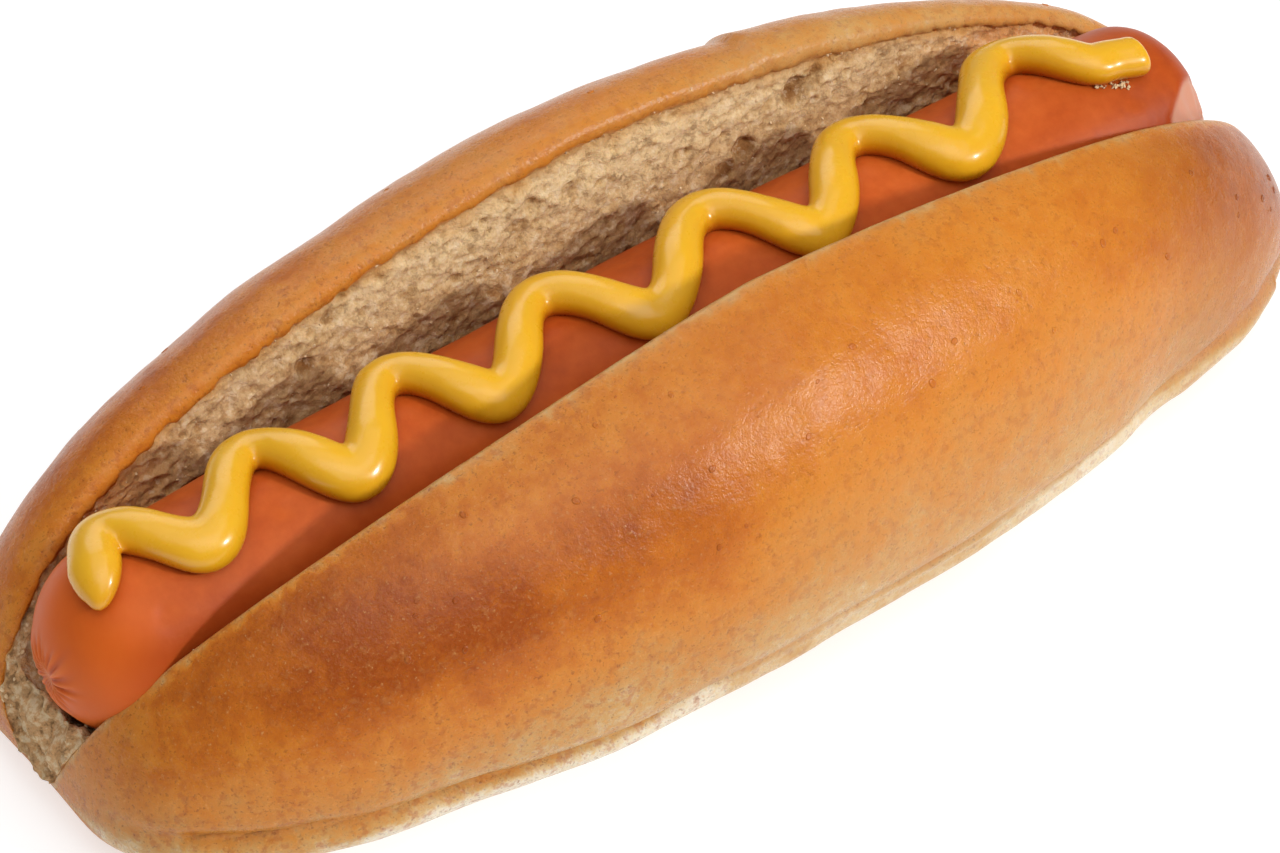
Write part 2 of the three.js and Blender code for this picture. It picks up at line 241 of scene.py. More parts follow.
def roll_heights(s):
    arch = (1 + CROWN_LIFT * s * s) * end_rounding(s, CROWN_FLATNESS, CROWN_POWER)
    crown = (END_HEIGHT + (CROWN_HEIGHT - END_HEIGHT) * arch) * (1 + CROWN_TILT * s)
    curl = np.maximum(0, (np.abs(s) - BASE_FLAT) / (1 - BASE_FLAT))
    base = END_HEIGHT * (1 - end_rounding(curl, 2.2, 2))
    return crown, base, base + WAIST_SHARE * (crown - base)


def half_width(half, s):
    plan = half["half_width"] * (1 - half["taper"] * s) * (1 - PLAN_PINCH * s * s)
    return plan * end_rounding(s, PLAN_FLATNESS, np.where(s < 0, half["left"], half["right"]))


def mouth_width(half, s):
    plan = half["mouth"] * (1 - half["mouth_taper"] * s) * (1 - MOUTH_PINCH * s * s)
    plan = plan * end_rounding(s, MOUTH_FLATNESS, np.where(s < 0, half["mouth_left"], half["mouth_right"]))
    spread = half["end_spread"] * bell(s, -1, 0.04)
    return np.minimum(plan + spread, 0.75 * half_width(half, s))


print("middle section: crown %.1f, base %.1f, waist %.1f mm" % roll_heights(0.0))

# %% [markdown]
# ### Crust and crumb of one half
# The crust of one half starts beside the middle of the base and climbs to the lip. The crumb
# starts under the lip and runs down the cut face and under the frankfurter. Both are grids: one
# row for each station along the roll, one column for each step round the section. The angles of
# the columns are chosen so that the steps are even in the middle of the roll.

# %% Crust and crumb grids
def crust_relief(half, x, height):
    crease = -0.9 * bell(height, BAND_TOP, 1.3)
    swell = 0.6 * bell(height, BAND_TOP / 2, BAND_TOP / 3)
    dents = sum(size * bell(x, at, width) for at, size, width in half["dents"])
    low_lumps = 0.3 * lumps(x / 17 + half["side"], height / 13)
    return crease + swell + bell(height, half["dent_height"], 9) * dents + low_lumps


def half_points(half, s, across, height, centre):
    x = s * HALF_LENGTH + half["slide"] * np.minimum(1, across / 30)
    y = centre + half["side"] * across
    return np.stack(np.broadcast_arrays(x, y, np.maximum(0, height)), axis=-1)


def crust_grid(half, stations, lower, upper, lip):
    s = stations[:, None]
    x = s * HALF_LENGTH
    crown, base, waist = roll_heights(s)
    width, mouth = half_width(half, s), mouth_width(half, s)
    low_power, high_power = 2 / LOWER_SQUARENESS, 2 / UPPER_SQUARENESS
    side = width * np.sin(lower) ** low_power
    side_drop = (waist - base + BASE_SQUASH) * np.cos(lower).clip(0) ** low_power
    side_height = np.maximum(base, waist - side_drop)
    inner = np.minimum(mouth + half["lip"], 0.9 * width)
    shoulder = inner + (width - inner) * np.cos(upper).clip(0) ** high_power
    shoulder_height = waist + (crown - waist) * np.sin(upper) ** high_power
    drop = np.minimum(half["lip"], 0.4 * (crown - base))
    edge = mouth + (inner - mouth) * (1 - np.sin(lip))
    edge_height = crown - drop * (1 - np.cos(lip))
    across = np.concatenate([side, shoulder, edge], axis=1)
    height = np.concatenate([side_height, shoulder_height, edge_height], axis=1)
    reach = (across / width) ** 4 * np.minimum(1, width / 20)
    return half_points(half, s, across + reach * crust_relief(half, x, height), height, MOUTH_OFFSET)


def sausage_clearance(x, height):
    radius = sausage_radius(x)
    radius = np.where(radius > 0, radius + GROOVE_GAP, 0)
    return np.sqrt(np.maximum(0, radius ** 2 - (height - sausage_axis(x)[1]) ** 2))


def groove_floor(s, lip):
    crown, base, _ = roll_heights(s)
    top = crown - np.minimum(lip, 0.4 * (crown - base))
    hinge = base + HINGE_SHARE * (top - base)
    x = s * HALF_LENGTH
    at_end = smooth_step(-72, -80, x)
    end_radius = np.minimum(SAUSAGE_RADIUS, sausage_radius(x) + 0.6)
    radius = SAUSAGE_RADIUS * (1 - at_end) + end_radius * at_end
    below = sausage_axis(x)[1] - radius - GROOVE_GAP
    return top, np.minimum(top, np.maximum(hinge, below))


def crumb_grid(half, stations, rises, arcs):
    s = stations[:, None]
    x = s * HALF_LENGTH
    axis_y, axis_z = sausage_axis(x)
    lip_across = mouth_width(half, s)
    top, floor = groove_floor(s, half["lip"])
    depth = top - floor
    groove = SAUSAGE_RADIUS + GROOVE_GAP
    groove_height = np.minimum(groove, 0.6 * depth)
    groove_width = np.maximum(sausage_clearance(x, axis_z), np.minimum(groove, 0.85 * lip_across))
    height = floor + groove_height + (depth - groove_height) * rises
    centre = axis_y + (MOUTH_OFFSET - axis_y) * rises ** 2
    smooth = groove_width + (lip_across - groove_width) * rises ** 1.5
    rough = 0.45 * (0.5 + 0.5 * lumps(x / 2.9, rises * depth / 2.1 + half["side"]))
    needed = sausage_clearance(x, height) + half["side"] * (axis_y - centre)
    fade = np.minimum(1, depth / 12) * np.minimum(1, 4 * rises) * (1 - rises ** 8)
    face = half_points(half, s, np.maximum(smooth, needed) + rough * fade, height, centre)
    arc_height = floor + groove_height * (1 - np.sin(arcs))
    under = half_points(half, s, groove_width * np.cos(arcs), arc_height, axis_y)
    return np.concatenate([face, under], axis=1)


def even_angles(curve, count, crowding=0):
    """Angles from just above 0 to a right angle that cut a quarter curve into steps.

    The steps are even, or `crowding` times closer beside the crease.
    """
    fine = np.linspace(0, 1, 4001) ** 2 * math.pi / 2
    points = curve(fine)
    weight = 1 + crowding * bell(points[1, 1:], BAND_TOP + 1, 3)
    lengths = np.concatenate([[0], np.cumsum(np.hypot(*np.diff(points, axis=1)) * weight)])
    return np.interp(np.linspace(0, lengths[-1], count + 1)[1:], lengths, fine)


def crust_angles(lower_steps, upper_steps, lip_steps):
    """Angles for the side below the waist, the shoulder above it, and the lip."""
    def side_curve(a):
        return np.stack([37 * np.sin(a) ** 0.625, 23 * (1 - np.cos(a).clip(0) ** 0.625)])

    def shoulder_curve(a):
        return np.stack([21 * np.cos(a).clip(0) ** 1.03, 26 * np.sin(a) ** 1.03])

    lip = np.arange(1, lip_steps + 1) / lip_steps * math.pi / 2
    return even_angles(side_curve, lower_steps, 2), even_angles(shoulder_curve, upper_steps), lip


front_angles = crust_angles(34, 46, 5)
back_angles = crust_angles(24, 32, 5)
print("crust columns:", sum(len(part) for part in front_angles + back_angles))

# %% [markdown]
# ### Stations along the roll
# The ends are blunt, so even steps along X would leave them coarse. The stations are set at even
# steps along the outline seen from above. The crumb needs twice as many rows as the crust for its
# pores, so the crust takes every second station and the two are stitched along the lips.

# %% Stations at even steps along the outline
CRUST_STATIONS = 252
END_WEIGHT = 0.55  # how much of the end's width counts as length

spread = 1 - np.linspace(1, 0, 6000) ** 7
ahead = np.concatenate([-spread[::-1], spread[1:]])
outline_width = (half_width(FRONT, ahead) + half_width(BACK, ahead)) / 2
steps_along = np.hypot(np.diff(ahead) * HALF_LENGTH, END_WEIGHT * np.diff(outline_width))
distance = np.concatenate([[0], np.cumsum(steps_along)])
fine_count = 2 * CRUST_STATIONS - 1
stations = np.interp(np.linspace(0, distance[-1], fine_count + 4)[2:-2], distance, ahead)
station_x = stations * HALF_LENGTH
print("stations:", fine_count, "step in the middle %.2f mm" % np.diff(station_x)[fine_count // 2])

# %% Join both halves into rings
FAR_FACE_STEPS, NEAR_FACE_STEPS, GROOVE_STEPS = 64, 22, 14
MIDDLE_LIP = 1.4  # drop of the lips over the middle of the groove


def face_rises(count):
    return 1 - np.arange(1, count + 1) / count


groove_arcs = np.arange(1, GROOVE_STEPS) / GROOVE_STEPS * math.pi / 2
front_crust = crust_grid(FRONT, stations, *front_angles)
back_crust = crust_grid(BACK, stations, *back_angles)
front_crumb = crumb_grid(FRONT, stations, face_rises(NEAR_FACE_STEPS), groove_arcs)
back_crumb = crumb_grid(BACK, stations, face_rises(FAR_FACE_STEPS), groove_arcs)

groove_height = groove_floor(stations, MIDDLE_LIP)[1]
groove_middle = np.stack([station_x, sausage_axis(station_x)[0], groove_height], axis=-1)
base_middle = np.stack([station_x, np.full(fine_count, MOUTH_OFFSET), roll_heights(stations)[1]], axis=-1)

# One ring starts at the front lip, goes down into the cut, up to the back lip, and round the crust.
front_lip, back_lip = front_crust[:, -1:], back_crust[:, -1:]
rings = np.concatenate([
    front_lip, front_crumb, groove_middle[:, None], back_crumb[:, ::-1], back_lip,
    back_crust[:, -2::-1], base_middle[:, None], front_crust[:, :-1],
], axis=1)
fine_columns = front_crumb.shape[1] + back_crumb.shape[1] + 3  # with both lips and the middle of the groove
ring_columns = rings.shape[1]
print("ring of", ring_columns, "columns,", fine_columns, "of them crumb")

# %% [markdown]
# ### Where things are on the roll
# The relief and the colours need to know where a point is: how far up the crust, how deep in the
# cut, which half. These places are worked out once for all points of the rings.

# %% Places on the roll
places = rings.reshape(-1, 3)
x_here, y_here, z_here = places.T
column = np.tile(np.arange(ring_columns), fine_count)
station = np.repeat(stations, ring_columns)
crown_here, base_here, _ = roll_heights(station)
relative_height = (z_here - base_here) / np.maximum(crown_here - base_here, 0.1)
is_crumb = (column > 0) & (column < fine_columns - 1)
is_front = y_here < MOUTH_OFFSET
to_lip = np.minimum(np.minimum(column, np.abs(column - (fine_columns - 1))), ring_columns - column)
end_fade = smooth_step(0, 9, HALF_LENGTH - np.abs(x_here))

along_ring = np.roll(rings, -1, axis=1) - np.roll(rings, 1, axis=1)
along_roll = np.gradient(rings, axis=0)
normals = np.cross(along_roll.reshape(-1, 3), along_ring.reshape(-1, 3))
normals /= np.maximum(np.linalg.norm(normals, axis=1, keepdims=True), 1e-9)
if (normals[~is_crumb & is_front] * (0, -1, 0)).sum() < 0:
    normals = -normals
print("points:", len(places), "crumb share %.2f" % is_crumb.mean())

# %% [markdown]
# ### Relief of the crust
# A glossy crust shows every unevenness in its highlight. It gets slow swells of the dough, short
# soft wrinkles that formed as it cooled, a patch of closer puckers on the front shoulder, one fold
# on the back half, and the sharp crease over the pale band, where the side met the tray.

# %% Relief of the crust
wrinkle_space = places * (0.75, 1.0, 1.25)
crust_lift = 0.22 * soft_noise(places, 11, 3) + 0.12 * layered_noise(wrinkle_space, 4.2, 11, 2)
crust_lift += 0.05 * soft_noise(wrinkle_space, 2.0, 23)
puckered = bell(x_here, -2, 16) * bell(z_here, 38, 7) * is_front
crust_lift += 0.16 * puckered * soft_noise(places * (1.0, 0.8, 0.8), 2.3, 29)

is_outer = np.abs(y_here) > 20
crease_height = BAND_TOP + 0.7 * soft_noise(places * (1, 0, 0), 13, 31)
crease_height += 1.9 * smooth_step(-32, -12, x_here) * is_front
above_crease = z_here - crease_height
crease = bell(above_crease, 0, 0.7) * is_outer
crust_lift -= 0.8 * crease * (0.7 + 0.3 * soft_noise(places, 9, 37))
below_crease = smooth_step(0, -1.2, above_crease) * smooth_step(-8, -3.5, above_crease)
crust_lift += 0.45 * below_crease * is_front * is_outer

back_fold = smooth_step(24.5, 26.0, x_here) * smooth_step(60, 30, x_here)
back_fold *= smooth_step(26, 34, z_here) * ~is_front
crust_lift += 0.8 * back_fold
crust_lift *= np.clip(to_lip / 6, 0.15, 1) * end_fade * smooth_step(0.0, 0.06, relative_height)

# The lips were torn by the knife, so they wander a little.
lip_shift = 0.36 * soft_noise(places, 0.9, 41) + 0.28 * soft_noise(places, 3.0, 43)
print("crust relief from %.2f to %.2f mm" % (crust_lift[~is_crumb].min(), crust_lift[~is_crumb].max()))

# %% [markdown]
# ### Relief of the crumb
# A cut roll shows gas cells of all sizes in a fine, torn web. Round pores in two sizes and a few
# large holes are sunk into the bread, and soft noise ruffles what stands between them. The left
# end is torn deeper. All of it goes into the bread, so the crumb never grows into the frankfurter.

# %% Relief of the crumb
# Each hole of the far face: its places along X and in height, its radius and its depth
LARGE_HOLES = [
    (30.5, 38.6, 2.2, 1.5), (33.5, 39.4, 1.5, 1.0), (22.3, 34.6, 1.9, 1.4),
    (-41.0, 33.0, 1.6, 1.0), (-8.0, 40.0, 1.2, 0.8),
]

stretched = places * (1.0, 1.0, 1.25)
large_pores = round_pores(stretched, 3.4, 51, 0.2, 0.5, 0.3)
small_pores = round_pores(stretched, 1.15, 61, 0.25, 0.62, 0.75)
ruffle = layered_noise(stretched, 4.6, 71, 3)
fine_ruffle = layered_noise(stretched, 1.0, 77, 2)
crumb_depth = 0.50 * large_pores + 0.50 * small_pores + 0.36 * (ruffle + 1) + 0.38 * (fine_ruffle + 1)
holes = np.zeros(len(places))
for hole_x, hole_z, radius, depth in LARGE_HOLES:
    away_share = np.hypot(x_here - hole_x, z_here - hole_z) / radius + 0.35 * ruffle
    holes = np.maximum(holes, depth * smooth_step(1.1, 0.35, away_share) * (y_here > 5))
crumb_depth += holes
crumb_depth *= np.clip(to_lip / 3, 0, 1) * smooth_step(0, 14, crown_here - base_here)
torn_end = smooth_step(-76, -82, x_here) * np.clip(to_lip / 2, 0, 1)
torn_depth = 1.3 * layered_noise(places * (1, 1.5, 1), 2.8, 79, 3) + 0.4 * fine_ruffle
torn_depth += 0.9 * round_pores(places, 1.5, 81, 0.3, 0.7, 0.85)
crumb_depth = crumb_depth * (1 - torn_end) + torn_depth * torn_end
print("crumb relief up to %.2f mm deep" % crumb_depth[is_crumb].max())

# %% Move the points
lift = np.where(is_crumb, -crumb_depth, crust_lift)
lip_weight = np.clip(1 - to_lip / 3, 0, 1) * end_fade
moved = places + normals * lift[:, None]
moved[:, 2] += lip_weight * lip_shift
moved[:, 1] += lip_weight * 0.6 * lip_shift * np.where(is_front, -1, 1)
moved[:, 2] = np.maximum(moved[:, 2], 0)
print("highest point %.2f mm" % moved[:, 2].max())

# %% [markdown]
# ### Colour guides on the mesh
# The shader needs to know how strongly each place was baked. The top of a roll browns first, the
# sides stay tan, and a pale band is left where it stood against its neighbour. The left of this
# roll is darker. The bake guide also carries painted light: painted shade along the crease and on
# the front's left shoulder, and the back half and its rim painted paler towards the right. Another
# guide paints shade over the front crust, towards the left and at the right end. These guides are
# plain numbers on the points, and the shader turns them into colour and adds the fine mottling.
# Bake runs from 0, cream, to 1, dark brown.

# %% Guides for baking and crumb
cream_left = smooth_step(-70, -58, x_here) * smooth_step(-14, -22, x_here)
cream_right = 0.75 * smooth_step(20, 34, x_here) * smooth_step(56, 44, x_here)
front_cream = 0.3 + 0.7 * np.maximum(cream_left, cream_right)
cream = np.where(is_front, front_cream, 0.35 + 0.5 * smooth_step(-10, 40, x_here))
slow = layered_noise(places, 16, 83, 3)
height_guide = relative_height + 0.035 * slow
band_edge = crease_height / 47 + 0.01


def toward(value, target, share):
    return value * (1 - share) + target * share


bake_and_painted_light = 0.30 + 0.16 * smooth_step(0.22, 0.56, height_guide) + 0.20 * smooth_step(0.5, 0.86, height_guide)
bake_and_painted_light += np.where(is_front, 0.23, 0.05) * bell(x_here, -57, 17) * bell(z_here + 2.5 * slow, 31, 8.5)
bake_and_painted_light += 0.10 * smooth_step(-36, -60, x_here) * smooth_step(0.25, 0.5, height_guide)
bake_and_painted_light += 0.16 * smooth_step(52, 70, x_here) * smooth_step(0.10, 0.4, height_guide)
bake_and_painted_light -= 0.14 * smooth_step(-76, -84, x_here) * is_front
# painted light: the back half is painted paler towards the right
bake_and_painted_light -= 0.16 * smooth_step(0, 40, x_here) * ~is_front
# painted shade: the front's left shoulder is darkened
left_shoulder = smooth_step(-4, -22, x_here) * smooth_step(-56, -44, x_here)
left_shoulder *= smooth_step(0.42, 0.6, height_guide)
bake_and_painted_light += 0.20 * is_front * left_shoulder * smooth_step(0.97, 0.86, height_guide)
bake_and_painted_light += 0.10 * slow
bake_and_painted_light = toward(bake_and_painted_light, 0.28 - 0.28 * cream, smooth_step(band_edge + 0.02, band_edge - 0.02, relative_height))
# painted shade: the crust is darkened along the crease
bake_and_painted_light += 0.30 * crease * (0.6 + 0.4 * soft_noise(places, 7, 45))
bake_and_painted_light = toward(bake_and_painted_light, 0.52, smooth_step(0.9, 0.2, z_here - base_here) * (np.abs(y_here) < 33))  # the underside
rim = smooth_step(11, 3, to_lip) * ~is_crumb
# painted light: the back rim is painted paler towards the right
rim_bake_and_painted_light = np.where(is_front, 0.46, 0.52 - 0.28 * smooth_step(-40, 30, x_here))
bake_and_painted_light = toward(bake_and_painted_light, rim_bake_and_painted_light, np.where(is_front, 0.35, 0.6) * rim)
edge = smooth_step(7.0, 4.0, to_lip + 2.2 * soft_noise(places, 1.1, 87)) * ~is_crumb * is_front
bake_and_painted_light = np.clip(toward(bake_and_painted_light, 0.22, 0.7 * edge), 0, 1.05)

mottled = 0.6 + 0.4 * smooth_step(0, -40, x_here)
# painted shade: the front crust is darkened towards the left and more at the right end, less at the rim
painted_shade = (0.2 * smooth_step(2, -30, x_here) + 0.9 * smooth_step(44, 68, x_here)) * is_front
painted_shade *= smooth_step(0.16, 0.4, height_guide) * (1 - 0.8 * rim)
# partly toasting, partly painted light: the crumb at the open ends is lifted to a lighter orange
end_toast_and_painted_light = np.maximum(smooth_step(44, 66, x_here), smooth_step(-56, -72, x_here))
under_lip = smooth_step(12, 1, to_lip + 4 * soft_noise(places, 2.4, 89)) * ~is_front
# Each guide of the roll, with its value at the two end points
ROLL_GUIDES = {
    "bake_and_painted_light": (bake_and_painted_light, 0.7),
    "crumb": (np.clip(to_lip / 2, 0, 1) * is_crumb, 0.0),
    # painted shade: the crumb is darkened in its pores and holes
    "painted_pore_shade": (np.clip(0.8 * large_pores + 0.45 * small_pores + 0.5 * holes, 0, 1), 0.0),
    # partly moisture, partly painted shade: the crumb darkens near the frankfurter
    "deep": (smooth_step(19, 3, z_here - sausage_axis(x_here)[1]), 0.0),
    "tear": (smooth_step(-70, -83, x_here) * is_crumb, 0.0),
    "toast_and_painted_light": (end_toast_and_painted_light * is_crumb, 0.0),
    "mottled": (mottled, 0.5),
    "warm": (under_lip * is_crumb, 0.0),
    "painted_shade": (painted_shade, 0.5),
}
print("bake from %.2f to %.2f" % (bake_and_painted_light[~is_crumb].min(), bake_and_painted_light[~is_crumb].max()))

# %% [markdown]
# ### One closed mesh
# The fine columns become one block of faces and the crust, at every second station, another. A
# row of five-sided faces joins them along each lip, and a fan closes each end.

# %% Mesh helpers
def face_outwards(mesh):
    work = bmesh.new()
    work.from_mesh(mesh)
    bmesh.ops.recalc_face_normals(work, faces=work.faces)
    if work.calc_volume(signed=True) < 0:
        bmesh.ops.reverse_faces(work, faces=work.faces)
    open_edges = sum(1 for edge in work.edges if not edge.is_manifold)
    volume = work.calc_volume(signed=True) * 1e6
    work.to_mesh(mesh)
    work.free()
    return open_edges, volume


def store(mesh, label, values):
    """Stores one number for each point of a mesh."""
    layer = mesh.attributes.new(label, "FLOAT", "POINT")
    layer.data.foreach_set("value", np.asarray(values, dtype=np.float32))


def new_mesh_piece(name, points, faces, guides):
    """A smooth-shaded piece from points in millimetres, with its guides as point attributes."""
    mesh = bpy.data.meshes.new(name)
    mesh.from_pydata((points * MM).tolist(), [], faces)
    open_edges, volume = face_outwards(mesh)
    for guide, values in guides.items():
        store(mesh, guide, values)
    mesh.shade_smooth()
    mesh.calc_loop_triangles()
    print(name, len(mesh.loop_triangles), "triangles,", open_edges, "open edges, %.1f ml" % volume)
    return put_in_scene(name, mesh)


# %% Build the roll
def block_faces(index):
    """Four-sided faces of a grid of point numbers."""
    corners = np.stack([index[:-1, :-1], index[1:, :-1], index[1:, 1:], index[:-1, 1:]], axis=-1)
    return corners.reshape(-1, 4).tolist()


ring_index = np.arange(fine_count * ring_columns).reshape(fine_count, ring_columns)
fine_source = ring_index[:, :fine_columns]
coarse_source = ring_index[::2, fine_columns:]
source = np.concatenate([fine_source.ravel(), coarse_source.ravel()])
fine_index = np.arange(fine_source.size).reshape(fine_source.shape)
coarse_index = fine_source.size + np.arange(coarse_source.size).reshape(coarse_source.shape)
left_pole, right_pole = len(source), len(source) + 1

faces = block_faces(fine_index) + block_faces(coarse_index)
for lip_side, crust_side in ((-1, 0), (0, -1)):
    lip_line, crust_line = fine_index[:, lip_side].tolist(), coarse_index[:, crust_side].tolist()
    for i in range(CRUST_STATIONS - 1):
        faces.append(lip_line[2 * i:2 * i + 3] + [crust_line[i + 1], crust_line[i]])
for pole, row in ((left_pole, 0), (right_pole, -1)):
    loop = fine_index[row].tolist() + coarse_index[row].tolist()
    faces += [[pole, here, after] for here, after in zip(loop, loop[1:] + loop[:1])]

poles = np.array([[-HALF_LENGTH, MOUTH_OFFSET, END_HEIGHT], [HALF_LENGTH, MOUTH_OFFSET, END_HEIGHT]])
roll = new_mesh_piece("roll_piece", np.concatenate([moved[source], poles]), faces, {
    label: np.append(values[source], [at_poles] * 2) for label, (values, at_poles) in ROLL_GUIDES.items()
})

# %% [markdown]
# ## The frankfurter's skin
# The casing is smooth and tight along the barrel. At the left end it is gathered where the meat
# was pinched off, with fine folds running out from a small pit, and at the right end the pinch
# has left a pale cap. A few shallow dimples show where air lay under the skin.

# %% Build the frankfurter
SAUSAGE_SIDES = 144
LEFT_DOME_RINGS, BARREL_RINGS, RIGHT_DOME_RINGS = 30, 190, 26
# Each dimple: its place along X, its angle round the skin, its radius and its depth
DIMPLES = [
    (-55.7, -22, 1.1, 0.28), (-74.1, -40, 1.4, 0.3), (55.9, 4, 0.9, 0.25), (50.0, -9, 1.0, 0.2),
    (-30.0, -58, 1.6, 0.25), (12.0, 60, 2.0, 0.3), (66.0, -34, 1.2, 0.25),
]
PIT_PLACE = (0.3, 0.7, -0.5)  # place of the pit from the left end of the axis
CAP_X, CAP_PLACE = 74.6, (0, -9.2, 3.2)  # the pale cap: place along X, and from the axis there
CAP_RADIUS = 6.0


def dome_rings(length, count):
    """Distances of a dome's rings from its tip, closer near the tip."""
    return length * (1 - np.cos(np.arange(1, count + 1) / count * math.pi / 2))


def axis_point(x, offset):
    return np.array([x, *sausage_axis(x)]) + offset


barrel = np.linspace(SAUSAGE_LEFT + LEFT_DOME, SAUSAGE_RIGHT - RIGHT_DOME, BARREL_RINGS)[1:-1]
sausage_x = np.concatenate([
    SAUSAGE_LEFT + dome_rings(LEFT_DOME, LEFT_DOME_RINGS), barrel,
    SAUSAGE_RIGHT - dome_rings(RIGHT_DOME, RIGHT_DOME_RINGS)[::-1],
])
turn = np.arange(SAUSAGE_SIDES) / SAUSAGE_SIDES * 2 * math.pi
grid_x, grid_turn = np.meshgrid(sausage_x, turn, indexing="ij")

flat_x, flat_turn = grid_x.ravel(), grid_turn.ravel()
skin = sausage_skin(flat_x, flat_turn, np.zeros(len(flat_x)))
swell = 0.12 * soft_noise(skin, 13, 91) + 0.04 * soft_noise(skin, 3.2, 93)
for dimple_x, dimple_angle, dimple_radius, dimple_depth in DIMPLES:
    around = (np.degrees(flat_turn) - dimple_angle + 180) % 360 - 180
    beside = np.radians(around) * SAUSAGE_RADIUS
    swell -= dimple_depth * np.exp(-((flat_x - dimple_x) ** 2 + beside ** 2) / dimple_radius ** 2)

# Gathers at the left end: folds run out from the pit, deepest where they are well apart
pit = axis_point(SAUSAGE_LEFT, PIT_PLACE)
from_pit = np.linalg.norm(skin - pit, axis=1)
pit_turn = np.arctan2(skin[:, 2] - pit[2], skin[:, 1] - pit[1])
fold_reach = 4.6 + 1.1 * np.sin(3 * pit_turn + 0.6) + 0.6 * np.sin(7 * pit_turn)
fold_wave = np.sin(19 * pit_turn + 1.3 * np.sin(4 * pit_turn) + 0.35 * from_pit)
gathers = fold_wave * smooth_step(0.5, 1.7, from_pit) * np.exp(-((from_pit / fold_reach) ** 4)) * (flat_x < -70)
swell += 0.085 * np.minimum(from_pit, 3) * gathers - 0.9 * bell(from_pit, 0, 1.1)

# The pinched cap at the right end is flatter than the skin and has its own short folds
cap_middle = axis_point(CAP_X, CAP_PLACE)
from_cap = np.linalg.norm(skin - cap_middle, axis=1)
cap_turn = np.arctan2(skin[:, 2] - cap_middle[2], skin[:, 0] - cap_middle[0])
in_cap = smooth_step(CAP_RADIUS + 0.5, CAP_RADIUS - 0.4, from_cap) * (flat_x > 60)
swell -= in_cap * (0.35 + 0.16 * np.sin(9 * cap_turn + 0.8 * from_cap))
skin = sausage_skin(flat_x, flat_turn, swell)

sausage_index = np.arange(len(skin)).reshape(len(sausage_x), SAUSAGE_SIDES)
closed_index = np.concatenate([sausage_index, sausage_index[:, :1]], axis=1)
sausage_faces = block_faces(closed_index)
for tip, row in ((len(skin), closed_index[0].tolist()), (len(skin) + 1, closed_index[-1].tolist())):
    sausage_faces += [[tip, here, after] for here, after in zip(row, row[1:])]
tips = np.array([skin[:SAUSAGE_SIDES].mean(axis=0), skin[-SAUSAGE_SIDES:].mean(axis=0)])

turn_degrees = (np.degrees(flat_turn) + 180) % 360 - 180
shade = smooth_step(-36, -62, turn_degrees) * smooth_step(-84, -76, flat_x) + 0.6 * smooth_step(62, 76, flat_x)
sausage = new_mesh_piece("sausage_piece", np.concatenate([skin, tips]), sausage_faces, {
    "cap": np.append(in_cap, [0, 0]),
    "pit": np.append(bell(from_pit, 0, 0.8), [0, 0]),
    "end": np.append(smooth_step(-72, -80, flat_x), [1, 0]),
    "fold": np.append(gathers, [0, 0]),
    "shade": np.append(shade, [0, 0]),
})

# %% [markdown]
# ## The line of mustard
# Mustard leaves the nozzle as a round bead and settles on the skin. The hand swings to and fro,
# so the route is a row of turns. The bead is first laid out flat, as if the frankfurter's skin
# were unrolled: there the route is a plain zigzag, a Geometry Nodes tree sweeps the bead along it,
# and a voxel remesh melts it together where it touches itself. Then the flat bead is rolled back
# round the frankfurter. Sweeping it straight onto the curved skin would pinch it at each turn.

# %% The mustard's turns
# Each turn: its place along X, its angle round the skin from the top to the back, and how full
# the bead is there. The hand pressed harder at the front turns, and sped up to the right.
MUSTARD_TURNS = [
    (-80.3, -17.5, 1.08), (-75.4, 21.0, 1.04),
    (-66.2, -19.5, 1.10), (-55.6, 20.5, 0.97),
    (-46.8, -26.0, 1.14), (-36.2, 20.0, 0.97),
    (-27.0, -25.5, 1.10), (-14.8, 20.5, 1.00),
    (-4.8, -25.5, 1.08), (8.6, 21.5, 1.00),
    (18.8, -25.5, 1.08), (31.0, 25.5, 1.02),
    (41.0, -22.0, 1.18), (55.4, 34.0, 1.04),
    (63.9, -8.0, 1.00), (69.2, -13.0, 0.94),
]

STEPS_PER_TURN = 32

turns = np.array(MUSTARD_TURNS) * (1, math.radians(1) * SAUSAGE_RADIUS, 1)
share = np.arange(STEPS_PER_TURN)[:, None] / STEPS_PER_TURN
ease = (1 - np.cos(math.pi * share)) / 2  # the hand slows down where it turns back
shares = np.hstack([share, ease, ease])
flat_route = np.vstack([start + (end - start) * shares for start, end in zip(turns, turns[1:])] + [turns[-1]])
route_steps = np.hypot(*np.diff(flat_route[:, :2], axis=0).T)
route_at = np.concatenate([[0], np.cumsum(route_steps)])
print("route of the mustard: %.0f mm in %d turns" % (route_at[-1], len(turns)))

# %% [markdown]
# ### A tree that sweeps a bead
# The tree turns a row of edges into a curve, gives it the fullness stored on its points, and
# sweeps a circle along it. Its sizes are named inputs, so the bead can be made thicker or finer
# in the modifier without touching the tree.

# %% The bead tree
def new_tree(name, sockets):
    """A Geometry Nodes tree with a geometry in and out and the named inputs."""
    tree = bpy.data.node_groups.new(name, "GeometryNodeTree")
    tree.interface.new_socket("Geometry", in_out="OUTPUT", socket_type="NodeSocketGeometry")
    tree.interface.new_socket("Geometry", in_out="INPUT", socket_type="NodeSocketGeometry")
    for label, (kind, value) in sockets.items():
        socket = tree.interface.new_socket(label, in_out="INPUT", socket_type="NodeSocket" + kind)
        if value is not None:
            socket.default_value = value
    return tree, tree.nodes.new("NodeGroupInput").outputs, tree.nodes.new("NodeGroupOutput")


